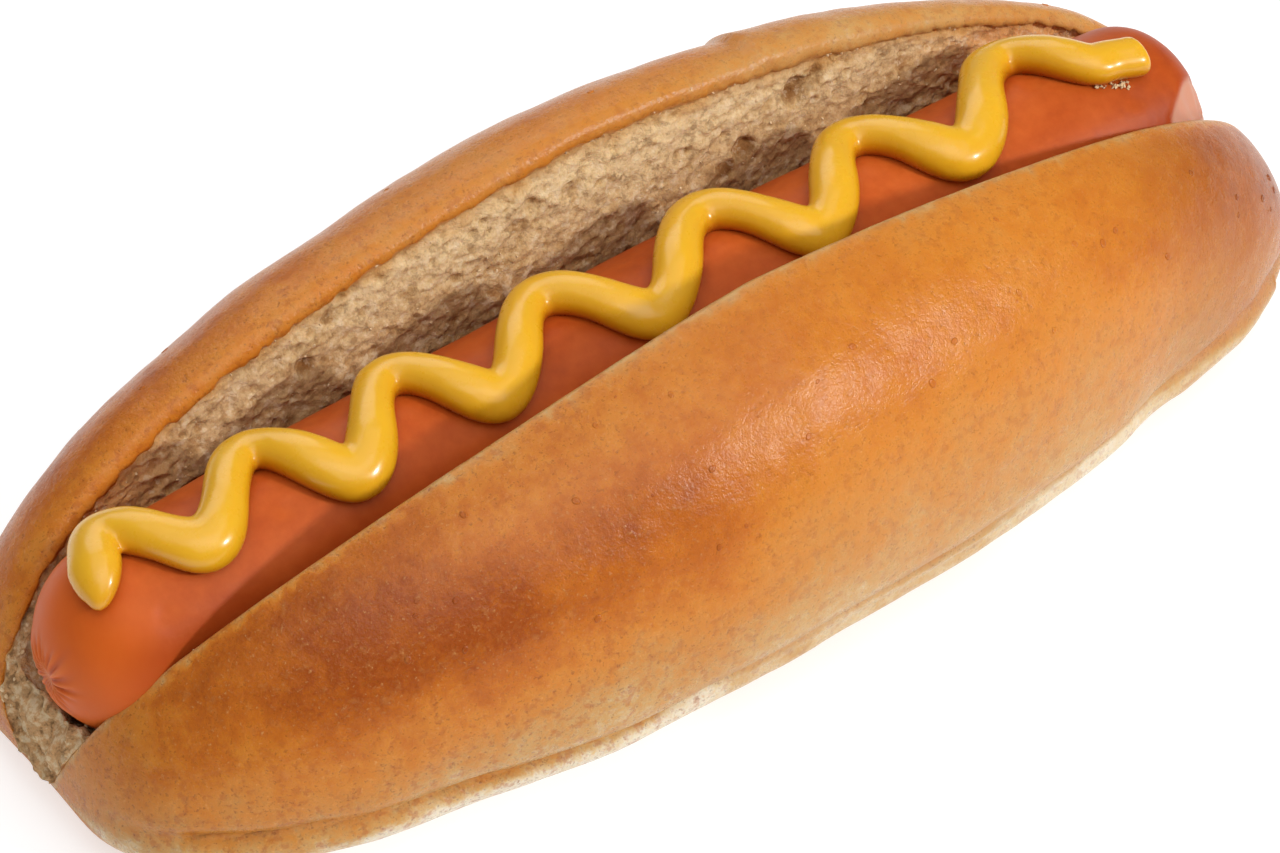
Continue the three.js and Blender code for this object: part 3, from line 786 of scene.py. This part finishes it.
def add_node(tree, kind, inputs=None, **settings):
    """Adds a node, sets what it is, and fills its inputs with values or links."""
    made = tree.nodes.new(kind)
    for key, value in settings.items():
        setattr(made, key, value)
    for key, value in (inputs or {}).items():
        if isinstance(value, bpy.types.NodeSocket):
            tree.links.new(value, made.inputs[key])
        else:
            made.inputs[key].default_value = value
    return made


def math_node(tree, operation, *values):
    return add_node(tree, "ShaderNodeMath", dict(enumerate(values)), operation=operation).outputs[0]


def stored(tree, label, kind="FLOAT"):
    """What is stored on the points under a name."""
    found = add_node(tree, "GeometryNodeInputNamedAttribute", {"Name": label}, data_type=kind)
    return found.outputs["Attribute"]


def dressed_result(tree, given, result, geometry):
    dressed = add_node(tree, "GeometryNodeSetMaterial", {"Geometry": geometry, "Material": given["Material"]})
    tree.links.new(dressed.outputs[0], result.inputs[0])
    return tree


def make_bead_tree():
    tree, given, result = new_tree("Piped bead", {
        "Half width": ("Float", 0.0026), "Step": ("Float", 0.0005), "Sides": ("Int", 28),
        "Material": ("Material", None),
    })
    line = add_node(tree, "GeometryNodeMeshToCurve", {"Mesh": given["Geometry"]})
    radius = stored(tree, "fullness")
    sized = add_node(tree, "GeometryNodeSetCurveRadius", {"Curve": line.outputs[0], "Radius": radius})
    even_inputs = {"Curve": sized.outputs[0], "Length": given["Step"]}
    even = add_node(tree, "GeometryNodeResampleCurve", even_inputs, mode="LENGTH")
    circle = add_node(tree, "GeometryNodeCurvePrimitiveCircle", {
        "Resolution": given["Sides"], "Radius": given["Half width"],
    }, mode="RADIUS")
    swept = add_node(tree, "GeometryNodeCurveToMesh", {
        "Curve": even.outputs[0], "Profile Curve": circle.outputs[0], "Fill Caps": True,
    })
    if "Scale" in swept.inputs:
        tree.links.new(add_node(tree, "GeometryNodeInputRadius").outputs[0], swept.inputs["Scale"])
    real = add_node(tree, "GeometryNodeRealizeInstances", {"Geometry": swept.outputs[0]})
    return dressed_result(tree, given, result, real.outputs[0])


bead_tree = make_bead_tree()
print("bead tree:", len(bead_tree.nodes), "nodes")

# %% Turn a tree's result into a plain mesh
def socket_id(tree, label):
    sockets = [
        item for item in tree.interface.items_tree
        if item.item_type == "SOCKET" and item.in_out == "INPUT"
    ]
    return next(item.identifier for item in sockets if item.name == label)


def evaluated_mesh(holder):
    """The plain mesh of an object with its modifiers applied. The object is removed."""
    mesh = bpy.data.meshes.new_from_object(holder.evaluated_get(bpy.context.evaluated_depsgraph_get()))
    holder.modifiers.clear()
    bpy.data.objects.remove(holder)
    return mesh


def grow(name, source_mesh, tree, values):
    """Runs a tree on a mesh and keeps the result as a plain mesh."""
    seedling = put_in_scene(name + "_source", source_mesh)
    modifier = seedling.modifiers.new("tree", "NODES")
    modifier.node_group = tree
    for label, value in values.items():
        modifier[socket_id(tree, label)] = value
    mesh = evaluated_mesh(seedling)
    mesh.name = name
    return mesh


# %% Lay the bead out flat and melt it together
BEAD_HALF_WIDTH, BEAD_STEP, BEAD_SIDES = 2.62, 0.5, 28
BEAD_CENTRE_HEIGHT = 1.62
VOXEL = 0.34

from_start, from_end = route_at, route_at[-1] - route_at
start_taper = np.clip((from_start + 0.25) / 5, 0, 1) ** 0.5  # the first touch of the nozzle is a point
end_taper = np.sqrt(1 - (1 - np.clip((from_end + 0.5) / 1.1, 0, 1)) ** 2)
pulse = 1 + 0.035 * np.sin(route_at * 0.62) + 0.03 * np.sin(route_at * 0.26 + 2)
fullness = flat_route[:, 2] * start_taper * end_taper * pulse
route_points = np.column_stack([flat_route[:, :2], np.full(len(flat_route), BEAD_CENTRE_HEIGHT)])

route_mesh = bpy.data.meshes.new("route")
route_mesh.from_pydata((route_points * MM).tolist(), [(i, i + 1) for i in range(len(route_points) - 1)], [])
store(route_mesh, "fullness", fullness)
bead_mesh = grow("flat_bead", route_mesh, bead_tree, {
    "Half width": BEAD_HALF_WIDTH * MM, "Step": BEAD_STEP * MM, "Sides": BEAD_SIDES,
})
holder = put_in_scene("flat_bead_holder", bead_mesh)
melt = holder.modifiers.new("remesh", "REMESH")
melt.mode, melt.voxel_size, melt.use_smooth_shade = "VOXEL", VOXEL * MM, True
soften = holder.modifiers.new("smooth", "SMOOTH")
soften.factor, soften.iterations = 0.5, 8
melted = evaluated_mesh(holder)
print("flat bead:", len(bead_mesh.polygons), "faces swept,", len(melted.polygons), "after melting")

# %% Roll the bead round the frankfurter
BEAD_SQUASH = 0.93
DEEPEST = -0.12  # how far the foot of the bead may sink into the skin

flat = np.empty(len(melted.vertices) * 3)
melted.vertices.foreach_get("co", flat)
flat = flat.reshape(-1, 3) / MM
height = np.where(flat[:, 2] > 0, flat[:, 2] * BEAD_SQUASH, np.maximum(flat[:, 2], DEEPEST))
ripple = 0.05 * soft_noise(flat, 2.6, 101) + 0.03 * soft_noise(flat, 1.1, 103)
height = np.where(height > 0.6, height + ripple, height)
bead_x = np.clip(flat[:, 0], SAUSAGE_LEFT + 0.5, SAUSAGE_RIGHT - 0.5)
rolled = sausage_skin(bead_x, flat[:, 1] / SAUSAGE_RADIUS, height)
bead_faces = [list(face.vertices) for face in melted.polygons]
mustard = new_mesh_piece("mustard_piece", rolled, bead_faces, {"height": height / 4})
for spare in (route_mesh, bead_mesh, melted):
    bpy.data.meshes.remove(spare)

# %% [markdown]
# ## Crumbs and blisters
# Small things make bread look real: loose crumbs on the lips, the far face, the open end and by
# the mustard's tail, and tiny blisters on the crust, some of them burst into rings. Each kind is
# one small form repeated many times, so one Geometry Nodes tree scatters both: it sets a rough
# ball on each point, squashed along the point's own direction, and its size comes from the point.

# %% The scatter tree
def vector_math(tree, operation, *values, scale=None):
    made = add_node(tree, "ShaderNodeVectorMath", dict(enumerate(values)), operation=operation)
    if scale is not None:
        tree.links.new(scale, made.inputs["Scale"])
    return made.outputs["Value" if operation == "LENGTH" else "Vector"]


def make_scatter_tree():
    tree, given, result = new_tree("Scattered bits", {
        "Seed": ("Int", 5), "Flatness": ("Float", 1.0), "Roughness": ("Float", 0.3), "Grain": ("Float", 900.0),
        "Dimple": ("Float", 0.0), "Spin": ("Float", 6.28), "Material": ("Material", None),
    })
    # A ball whose poles are pressed in by the dimple
    ball = add_node(tree, "GeometryNodeMeshIcoSphere", {"Radius": 1.0, "Subdivisions": 2})
    position = add_node(tree, "GeometryNodeInputPosition").outputs[0]
    place = add_node(tree, "ShaderNodeSeparateXYZ", {0: position}).outputs
    across = add_node(tree, "ShaderNodeCombineXYZ", {"X": place["X"], "Y": place["Y"]})
    hollow = math_node(tree, "SUBTRACT", 1.0, vector_math(tree, "LENGTH", across.outputs[0]))
    lowered = math_node(tree, "SUBTRACT", place["Z"], math_node(tree, "MULTIPLY", hollow, given["Dimple"]))
    dented = add_node(tree, "ShaderNodeCombineXYZ", {"X": place["X"], "Y": place["Y"], "Z": lowered})
    form_inputs = {"Geometry": ball.outputs["Mesh"], "Position": dented.outputs[0]}
    form = add_node(tree, "GeometryNodeSetPosition", form_inputs)
    # Its turn, its size and its place
    upward = {"Vector": stored(tree, "facing", "FLOAT_VECTOR")}
    aligned = add_node(tree, "FunctionNodeAlignRotationToVector", upward, axis="Z")
    spin_inputs = {"Seed": given["Seed"], 3: given["Spin"]}
    spin = add_node(tree, "FunctionNodeRandomValue", spin_inputs, data_type="FLOAT")
    twist = add_node(tree, "ShaderNodeCombineXYZ", {"Z": spin.outputs[1]})
    turned = add_node(tree, "FunctionNodeRotateRotation", {
        "Rotation": aligned.outputs[0], "Rotate By": twist.outputs[0],
    }, rotation_space="LOCAL")
    squashed = add_node(tree, "ShaderNodeCombineXYZ", {"X": 1.0, "Y": 0.8, "Z": given["Flatness"]})
    placed = add_node(tree, "GeometryNodeInstanceOnPoints", {
        "Points": given["Geometry"], "Instance": form.outputs[0], "Rotation": turned.outputs[0],
        "Scale": vector_math(tree, "SCALE", squashed.outputs[0], scale=stored(tree, "size")),
    })
    real = add_node(tree, "GeometryNodeRealizeInstances", {"Geometry": placed.outputs[0]})
    # A rough surface
    noise = add_node(tree, "ShaderNodeTexNoise", {"Scale": given["Grain"], "Detail": 1.0})
    centred = vector_math(tree, "SUBTRACT", noise.outputs["Color"], (0.5, 0.5, 0.5))
    push = vector_math(tree, "SCALE", centred, scale=given["Roughness"])
    torn = add_node(tree, "GeometryNodeSetPosition", {"Geometry": real.outputs[0], "Offset": push})
    return dressed_result(tree, given, result, torn.outputs[0])


scatter_tree = make_scatter_tree()


def scatter(name, points, facing, sizes, settings, guides):
    seeds = bpy.data.meshes.new(name + "_points")
    seeds.from_pydata((points * MM).tolist(), [], [])
    for label, numbers in {"size": sizes * MM, **guides}.items():
        store(seeds, label, numbers)
    directions = seeds.attributes.new("facing", "FLOAT_VECTOR", "POINT")
    directions.data.foreach_set("vector", facing.astype(np.float32).ravel())
    mesh = grow(name, seeds, scatter_tree, settings)
    mesh.shade_smooth()
    print(name, len(points), "bits,", len(mesh.polygons), "faces")
    return put_in_scene(name, mesh)


# %% Choose places for crumbs and blisters
LIP_CRUMBS, FAR_LIP_CRUMBS, END_CRUMBS, FACE_CRUMBS, TAIL_CRUMBS = 150, 60, 24, 120, 30
TINY_BLISTERS, RING_BLISTERS = 340, 46

rng = np.random.default_rng(20)


def pick(count, station_share, columns):
    """Numbers of random ring points, in a share of the length and some columns."""
    low, high = (int(share * fine_count) for share in station_share)
    return rng.integers(low, high, count) * ring_columns + rng.choice(columns, count)


back_lip_column = fine_columns - 1
crumb_picks = np.concatenate([
    pick(LIP_CRUMBS, (0.06, 0.94), [0, 1, 2]),
    pick(FAR_LIP_CRUMBS, (0.06, 0.9), [back_lip_column - 1, back_lip_column - 2]),
    pick(END_CRUMBS, (0.03, 0.075), range(10, fine_columns - 10)),
    pick(FACE_CRUMBS, (0.08, 0.9), range(fine_columns - 52, fine_columns - 4)),
])
crumb_sizes = np.concatenate([
    rng.uniform(0.10, 0.26, LIP_CRUMBS + FAR_LIP_CRUMBS), rng.uniform(0.12, 0.3, END_CRUMBS),
    rng.uniform(0.10, 0.22, FACE_CRUMBS),
])

front_skin = list(range(ring_columns - 38, ring_columns - 8))
back_skin = list(range(fine_columns + 8, fine_columns + 34))
tiny_picks = pick(TINY_BLISTERS, (0.05, 0.95), front_skin + back_skin)
tiny_sizes = 0.08 + 0.16 * rng.uniform(0, 1, TINY_BLISTERS) ** 2
ring_picks = pick(RING_BLISTERS, (0.2, 0.93), front_skin + back_skin[:14])
ring_sizes = rng.uniform(0.34, 0.62, RING_BLISTERS)
blister_picks = np.concatenate([tiny_picks, ring_picks])
# painted shade: the ring blisters are darker for the shade in their pits; the tiny ones differ at random
darker = np.concatenate([rng.choice([-0.07, -0.02, 0.14], TINY_BLISTERS), np.full(RING_BLISTERS, 0.10)])
print("crumbs:", len(crumb_picks), "blisters:", len(blister_picks))

# %% Scatter them
# The tail's crumbs lie in a short row on the frankfurter's skin
tail_share = rng.uniform(0, 1, TAIL_CRUMBS)
tail_x = 61.8 + 4.4 * tail_share + rng.uniform(-0.3, 0.3, TAIL_CRUMBS)
tail_turn = np.radians(-15 - 10 * tail_share + rng.uniform(-2.5, 2.5, TAIL_CRUMBS))
tail_points = sausage_skin(tail_x, tail_turn, rng.uniform(0.0, 0.25, TAIL_CRUMBS))
tail_facing = sausage_skin(tail_x, tail_turn, 1.0) - sausage_skin(tail_x, tail_turn, 0.0)
crumbs = scatter(
    "loose_crumbs", np.concatenate([moved[crumb_picks], tail_points]),
    np.concatenate([normals[crumb_picks], tail_facing]),
    np.concatenate([crumb_sizes, rng.uniform(0.14, 0.30, TAIL_CRUMBS)]),
    {"Seed": 5, "Flatness": 0.6, "Roughness": 0.0005, "Grain": 2400.0}, {})
blisters = scatter(
    "crust_blisters", moved[blister_picks] - 0.03 * normals[blister_picks], normals[blister_picks],
    np.concatenate([tiny_sizes, ring_sizes]),
    {"Seed": 9, "Flatness": 0.45, "Roughness": 0.00008, "Grain": 1500.0, "Dimple": 0.9},
    {"bake_and_painted_light": bake_and_painted_light[blister_picks] + darker, "mottled": mottled[blister_picks], "painted_shade": painted_shade[blister_picks]})

# %% [markdown]
# ## Finishes
# All three foods are uneven in the same way: a slow drift of colour with finer patches in it. That
# effect is one shader node group, placed in each material with its own sizes. Everything that has
# to do with light, such as gloss and the glow under the surface, stays in the materials.

# %% A group for mottling
def mix(tree, factor, first, second):
    return add_node(tree, "ShaderNodeMix", {0: factor, 2: first, 3: second}, data_type="FLOAT").outputs[0]


def mapped(tree, value, low, high, top):
    """From 0 where the value is low to the top where it is high."""
    settings = {"Value": value, "From Min": low, "From Max": high, "To Max": top}
    return add_node(tree, "ShaderNodeMapRange", settings).outputs[0]


def make_mottle_group():
    group = bpy.data.node_groups.new("Mottling", "ShaderNodeTree")
    for label, value in (("Patch size", 0.01), ("Grain size", 0.001), ("Grain share", 0.5)):
        socket = group.interface.new_socket(label, in_out="INPUT", socket_type="NodeSocketFloat")
        socket.default_value = value
    for label in ("Mottle", "Grain"):
        group.interface.new_socket(label, in_out="OUTPUT", socket_type="NodeSocketFloat")
    given, result = group.nodes.new("NodeGroupInput").outputs, group.nodes.new("NodeGroupOutput")
    where = add_node(group, "ShaderNodeTexCoord").outputs["Object"]

    def noise(size, detail, roughness):
        scale = math_node(group, "DIVIDE", 1.0, size)
        settings = {"Vector": where, "Scale": scale, "Detail": detail, "Roughness": roughness}
        return add_node(group, "ShaderNodeTexNoise", settings).outputs[0]

    patches, grain = noise(given["Patch size"], 4.0, 0.6), noise(given["Grain size"], 3.0, 0.65)
    mottle = mapped(group, mix(group, given["Grain share"], patches, grain), 0.3, 0.7, 1.0)
    group.links.new(mottle, result.inputs["Mottle"])
    group.links.new(grain, result.inputs["Grain"])
    return group


mottle_group = make_mottle_group()


def new_material(name, constants):
    """A material with one Principled shader, whose unvarying values are set straight away."""
    material = bpy.data.materials.new(name)
    material.use_nodes = True
    tree = material.node_tree
    tree.nodes.clear()
    shader = tree.nodes.new("ShaderNodeBsdfPrincipled")
    output = tree.nodes.new("ShaderNodeOutputMaterial")
    tree.links.new(shader.outputs[0], output.inputs[0])
    for label, value in constants.items():
        shader.inputs[label].default_value = value
    return material, tree, shader.inputs


def mottling(tree, patch, grain, share):
    placed = add_node(tree, "ShaderNodeGroup", node_tree=mottle_group)
    for label, value in (("Patch size", patch), ("Grain size", grain), ("Grain share", share)):
        placed.inputs[label].default_value = value
    return placed.outputs["Mottle"], placed.outputs["Grain"]


def guide(tree, name):
    return add_node(tree, "ShaderNodeAttribute", attribute_name=name).outputs["Fac"]


def blend(tree, factor, first, second):
    return add_node(tree, "ShaderNodeMix", {0: factor, 6: first, 7: second}, data_type="RGBA").outputs[2]


def tinted(tree, colour, tints):
    """Blends colours in, each where its guide is strong. A negative strength takes the guide's hollows."""
    for name, strength, target in tints:
        colour = blend(tree, math_node(tree, "MULTIPLY", guide(tree, name), strength), colour, (*target, 1))
    return colour


def specked(tree, colour, specks):
    """Blends colours in on a noise's peaks, or its hollows where low is above high, under a guide."""
    for source, low, high, name, strength, target in specks:
        spots = math_node(tree, "MULTIPLY", mapped(tree, source, low, high, strength), guide(tree, name))
        colour = blend(tree, spots, colour, (*target, 1))
    return colour


def ramp(tree, factor, stops):
    made = add_node(tree, "ShaderNodeValToRGB", {0: factor})
    elements = made.color_ramp.elements
    while len(elements) < len(stops):
        elements.new(0.5)
    for element, (at, colour) in zip(elements, sorted(stops)):
        element.position = at
        element.color = (*colour, 1)
    return made.outputs[0]


def bump(tree, height, strength, distance, under=None):
    made = add_node(tree, "ShaderNodeBump", {"Height": height, "Strength": strength, "Distance": distance})
    if under is not None:
        tree.links.new(under, made.inputs["Normal"])
    return made.outputs[0]


print("finishes: helpers ready")

# %% [markdown]
# ### Crust and crumb
# The roll has one material, because its crust and crumb are one skin and meet along a torn edge.
# The bake guide, which also carries painted light and shade, runs through a ramp from cream through
# tan and gold to a deep orange brown, with light and dark specks over it, and painted shade darkens
# parts of the front crust. The crumb is off-white, with painted shade in its pores, darker beside the
# frankfurter where it is partly moist and partly painted shade, orange and painted lighter at the
# open ends, and greyer with stronger specks where the left end is torn.

# %% The bread's material
CRUST_STOPS = [
    (0.00, (0.74, 0.64, 0.48)), (0.12, (0.67, 0.51, 0.30)), (0.28, (0.55, 0.310, 0.106)),
    (0.45, (0.55, 0.222, 0.042)), (0.62, (0.58, 0.195, 0.020)), (0.78, (0.49, 0.130, 0.010)),
    (1.00, (0.31, 0.060, 0.004)),
]
CRUMB_STOPS = [(0.0, (0.82, 0.61, 0.34)), (0.45, (0.62, 0.41, 0.19)), (1.0, (0.27, 0.125, 0.038))]

bread, tree, inputs = new_material("bread", {
    "Specular IOR Level": 0.24, "Subsurface Weight": 0.12,
    "Subsurface Radius": (1.0, 0.55, 0.25), "Subsurface Scale": 0.0012,
})
mottle, grain = mottling(tree, 0.007, 0.0014, 0.35)
fine_mottle, fine_grain = mottling(tree, 0.0018, 0.0005, 0.5)
centred = math_node(tree, "SUBTRACT", mottle, 0.5)
fine_centred = math_node(tree, "SUBTRACT", fine_mottle, 0.5)

uneven = math_node(tree, "MULTIPLY", math_node(tree, "ADD", centred, fine_centred), 0.30)
baked = math_node(tree, "MULTIPLY_ADD", uneven, guide(tree, "mottled"), guide(tree, "bake_and_painted_light"))
# painted shade darkens the front crust towards the left and at the right end
crust_colour = tinted(tree, ramp(tree, baked, CRUST_STOPS), [("painted_shade", 0.26, (0, 0, 0))])
crust_colour = specked(tree, crust_colour, [
    (grain, 0.48, 0.38, "mottled", 0.50, (0.38, 0.090, 0.010)),
    (grain, 0.56, 0.70, "mottled", 0.14, (0.74, 0.37, 0.105)),
    (fine_grain, 0.60, 0.74, "mottled", 0.36, (0.80, 0.47, 0.17)),
    (fine_grain, 0.42, 0.32, "mottled", 0.55, (0.22, 0.05, 0.006)),
])

# painted shade in the pores; the mottle and grain are the crumb's own tone
crumb_tone_and_shade = math_node(tree, "MULTIPLY_ADD", fine_centred, 0.85, guide(tree, "painted_pore_shade"))
crumb_tone_and_shade = math_node(tree, "MULTIPLY_ADD", centred, 0.22, crumb_tone_and_shade)
# beside the frankfurter the crumb is darker, partly moist and partly painted shade
crumb_tone_and_shade = math_node(tree, "MULTIPLY_ADD", guide(tree, "deep"), 0.38, crumb_tone_and_shade)
crumb_colour = tinted(tree, ramp(tree, crumb_tone_and_shade, CRUMB_STOPS), [
    # painted light: the toasted crumb at the open ends is a lighter orange than its shade allows
    ("deep", 0.55, (0.33, 0.14, 0.04)), ("toast_and_painted_light", 0.6, (0.80, 0.34, 0.10)),
])
crumb_colour = specked(tree, crumb_colour, [
    (grain, 0.53, 0.64, "crumb", 0.42, (0.84, 0.68, 0.46)),
    (grain, 0.47, 0.36, "crumb", 0.50, (0.22, 0.105, 0.036)),
])
torn = math_node(tree, "MULTIPLY", guide(tree, "tear"), math_node(tree, "MULTIPLY_ADD", fine_mottle, 0.6, 0.3))
crumb_colour = blend(tree, torn, crumb_colour, (0.46, 0.31, 0.16, 1))
crumb_colour = specked(tree, crumb_colour, [
    (grain, 0.50, 0.60, "tear", 0.65, (0.74, 0.58, 0.37)),
    (grain, 0.46, 0.36, "tear", 0.60, (0.13, 0.055, 0.016)),
])
crumb_colour = tinted(tree, crumb_colour, [("warm", 0.75, (0.64, 0.34, 0.105))])

is_inside = guide(tree, "crumb")
tree.links.new(blend(tree, is_inside, crust_colour, crumb_colour), inputs["Base Color"])
crust_rough = math_node(tree, "MULTIPLY_ADD", fine_mottle, 0.14, 0.22)
tree.links.new(mix(tree, is_inside, crust_rough, 0.92), inputs["Roughness"])
coarse_normal = bump(tree, grain, 0.25, 0.0004)
fine_strength = mix(tree, is_inside, 0.28, 0.95)
tree.links.new(bump(tree, fine_grain, fine_strength, 0.0003, coarse_normal), inputs["Normal"])
print("bread:", len(tree.nodes), "nodes")

# %% [markdown]
# ### Frankfurter skin
# The skin is a thin tight casing over pink-orange meat. Light enters it and comes back warm, so
# it has a small glow under the surface, and its gloss is broad rather than sharp. Its guides tint
# the gathers, painted lighter on their ridges and with painted shade in their valleys, paint a
# highlight on the pit, tint the pale cap, and paint shade on the side that lies in the cut and on
# the right end.

# %% The frankfurter's material
SKIN_STOPS = [(0.0, (0.36, 0.052, 0.006)), (0.45, (0.47, 0.080, 0.009)), (1.0, (0.58, 0.118, 0.017))]

meat, tree, inputs = new_material("frankfurter_skin", {
    "Specular IOR Level": 0.15, "Subsurface Weight": 0.2,
    "Subsurface Radius": (1.0, 0.3, 0.12), "Subsurface Scale": 0.002,
})
mottle, grain = mottling(tree, 0.014, 0.0016, 0.3)
skin_colour = tinted(tree, ramp(tree, mottle, SKIN_STOPS), [
    ("end", 0.75, (0.64, 0.118, 0.012)),
    # painted shade in the valleys of the gathers, then painted light on their ridges
    ("fold", -0.55, (0.34, 0.040, 0.004)),
    ("fold", 0.35, (0.80, 0.25, 0.06)),
    ("shade", 0.5, (0.26, 0.026, 0.003)),
    ("cap", 0.85, (0.62, 0.31, 0.21)),
    # painted highlight: a pale wet glint on the pit
    ("pit", 0.8, (0.80, 0.45, 0.28)),
])
tree.links.new(skin_colour, inputs["Base Color"])
tree.links.new(math_node(tree, "MULTIPLY_ADD", grain, 0.12, 0.36), inputs["Roughness"])
tree.links.new(bump(tree, grain, 0.12, 0.0003), inputs["Normal"])
print("frankfurter skin:", len(tree.nodes), "nodes")

# %% [markdown]
# ### Mustard
# Mustard is a smooth paste. It is bright on top and amber where it thins out at its foot, partly
# the thin paste and partly painted shade, which the height guide gives. A soft coat of moisture
# gives the small sharp lights on its bulbs.

# %% The mustard's material
MUSTARD_STOPS = [
    (0.00, (0.28, 0.050, 0.002)), (0.18, (0.44, 0.120, 0.003)), (0.42, (0.61, 0.250, 0.005)),
    (0.68, (0.71, 0.350, 0.008)), (1.00, (0.76, 0.405, 0.011)),
]

paste, tree, inputs = new_material("mustard_paste", {
    "Specular IOR Level": 0.4, "Coat Weight": 0.25, "Coat Roughness": 0.12, "Subsurface Weight": 0.2,
    "Subsurface Radius": (1.0, 0.6, 0.12), "Subsurface Scale": 0.0015,
})
mottle, grain = mottling(tree, 0.006, 0.0022, 0.3)
# partly thin paste, partly painted shade: the ramp darkens the bead towards its foot
tone = math_node(tree, "MULTIPLY_ADD", math_node(tree, "SUBTRACT", mottle, 0.5), 0.12, guide(tree, "height"))
tree.links.new(ramp(tree, tone, MUSTARD_STOPS), inputs["Base Color"])
tree.links.new(math_node(tree, "MULTIPLY_ADD", grain, 0.08, 0.24), inputs["Roughness"])
tree.links.new(bump(tree, grain, 0.05, 0.0002), inputs["Normal"])
print("mustard:", len(tree.nodes), "nodes")

# %% Crumb bits, and each piece's finish
BITS_STOPS = [(0.0, (0.50, 0.30, 0.13)), (1.0, (0.82, 0.64, 0.40))]

bits, tree, inputs = new_material("crumb_bits", {})
mottle, grain = mottling(tree, 0.003, 0.0006, 0.5)
tree.links.new(ramp(tree, mottle, BITS_STOPS), inputs["Base Color"])
tree.links.new(math_node(tree, "MULTIPLY_ADD", grain, 0.1, 0.8), inputs["Roughness"])

for piece, material in ((roll, bread), (sausage, meat), (mustard, paste), (crumbs, bits), (blisters, bread)):
    piece.data.materials.clear()
    piece.data.materials.append(material)
    print(piece.name, "wears", material.name)

# %% [markdown]
# ## Light and floor
# The food stands on a plain pale floor under soft light. One broad panel hangs overhead, one
# stands high in front, and one behind lights the far rim. A small one stands low at the front
# right: it draws the highlight on the shoulder of the roll and the small lights on the mustard.
# The world gives a weak light all round and is plain white where the camera sees it.

# %% Floor and lights
FLOOR_RADIUS, FLOOR_SIDES, FLOOR_HEIGHT = 4, 64, -0.0002
AIM_HEIGHT = 0.03
WORLD_LIGHT = 0.22

floor_mesh = bpy.data.meshes.new("floor")
floor_turn = np.arange(FLOOR_SIDES) / FLOOR_SIDES * 2 * math.pi
floor_mesh.from_pydata([
    (FLOOR_RADIUS * math.cos(a), FLOOR_RADIUS * math.sin(a), FLOOR_HEIGHT) for a in floor_turn
], [], [list(range(FLOOR_SIDES))])
floor_finish, tree, inputs = new_material("floor_finish", {
    "Base Color": (0.5, 0.5, 0.5, 1), "Roughness": 0.9, "Specular IOR Level": 0.1,
    "Emission Color": (1, 1, 1, 1), "Emission Strength": 0.62,
})
floor_mesh.materials.append(floor_finish)
floor = put_in_scene("floor", floor_mesh)


def soft_light(name, turn_degrees, height_degrees, distance, size, power):
    """A square panel aimed at the food. The turn is from the front towards the right."""
    turn_angle, rise = math.radians(turn_degrees), math.radians(height_degrees)
    level = Vector((math.sin(turn_angle), -math.cos(turn_angle), 0))
    direction = level * math.cos(rise) + Vector((0, 0, math.sin(rise)))
    data = bpy.data.lights.new(name, "AREA")
    data.size, data.energy = size, power
    light = put_in_scene(name, data)
    light.location = direction * distance + Vector((0, 0, AIM_HEIGHT))
    light.rotation_euler = (-direction).to_track_quat("-Z", "Y").to_euler()


soft_light("highlight_panel", 31, 31, 1.0, 0.08, 5.4)
soft_light("front_panel", -8, 58, 1.2, 1.0, 4.3)
soft_light("overhead_panel", -30, 84, 1.3, 1.4, 6.6)
soft_light("rim_panel", 165, 42, 1.2, 0.8, 4.0)

world = bpy.data.worlds.new("studio")
world.use_nodes = True
background = world.node_tree.nodes["Background"]
background.inputs[0].default_value = (1, 1, 1, 1)
seen = add_node(world.node_tree, "ShaderNodeLightPath").outputs["Is Camera Ray"]
glow = math_node(world.node_tree, "MULTIPLY_ADD", seen, 1.0 - WORLD_LIGHT, WORLD_LIGHT)
world.node_tree.links.new(glow, background.inputs[1])
bpy.context.scene.world = world
bpy.context.scene.view_settings.view_transform = "Standard"

# %% [markdown]
# ## Fix the pieces to the frame
# Each piece rides on the one body. The three main pieces stand for the three solids of the frame.

# %% Ride and replace
for piece, node, slot in (
    (roll, "roll", "roll_crust"),
    (sausage, "sausage", "sausage_skin"),
    (mustard, "mustard", "mustard"),
    (crumbs, None, "roll_crust"),
    (blisters, None, "roll_crust"),
):
    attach(piece, "root")
    if node:
        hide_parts(node)
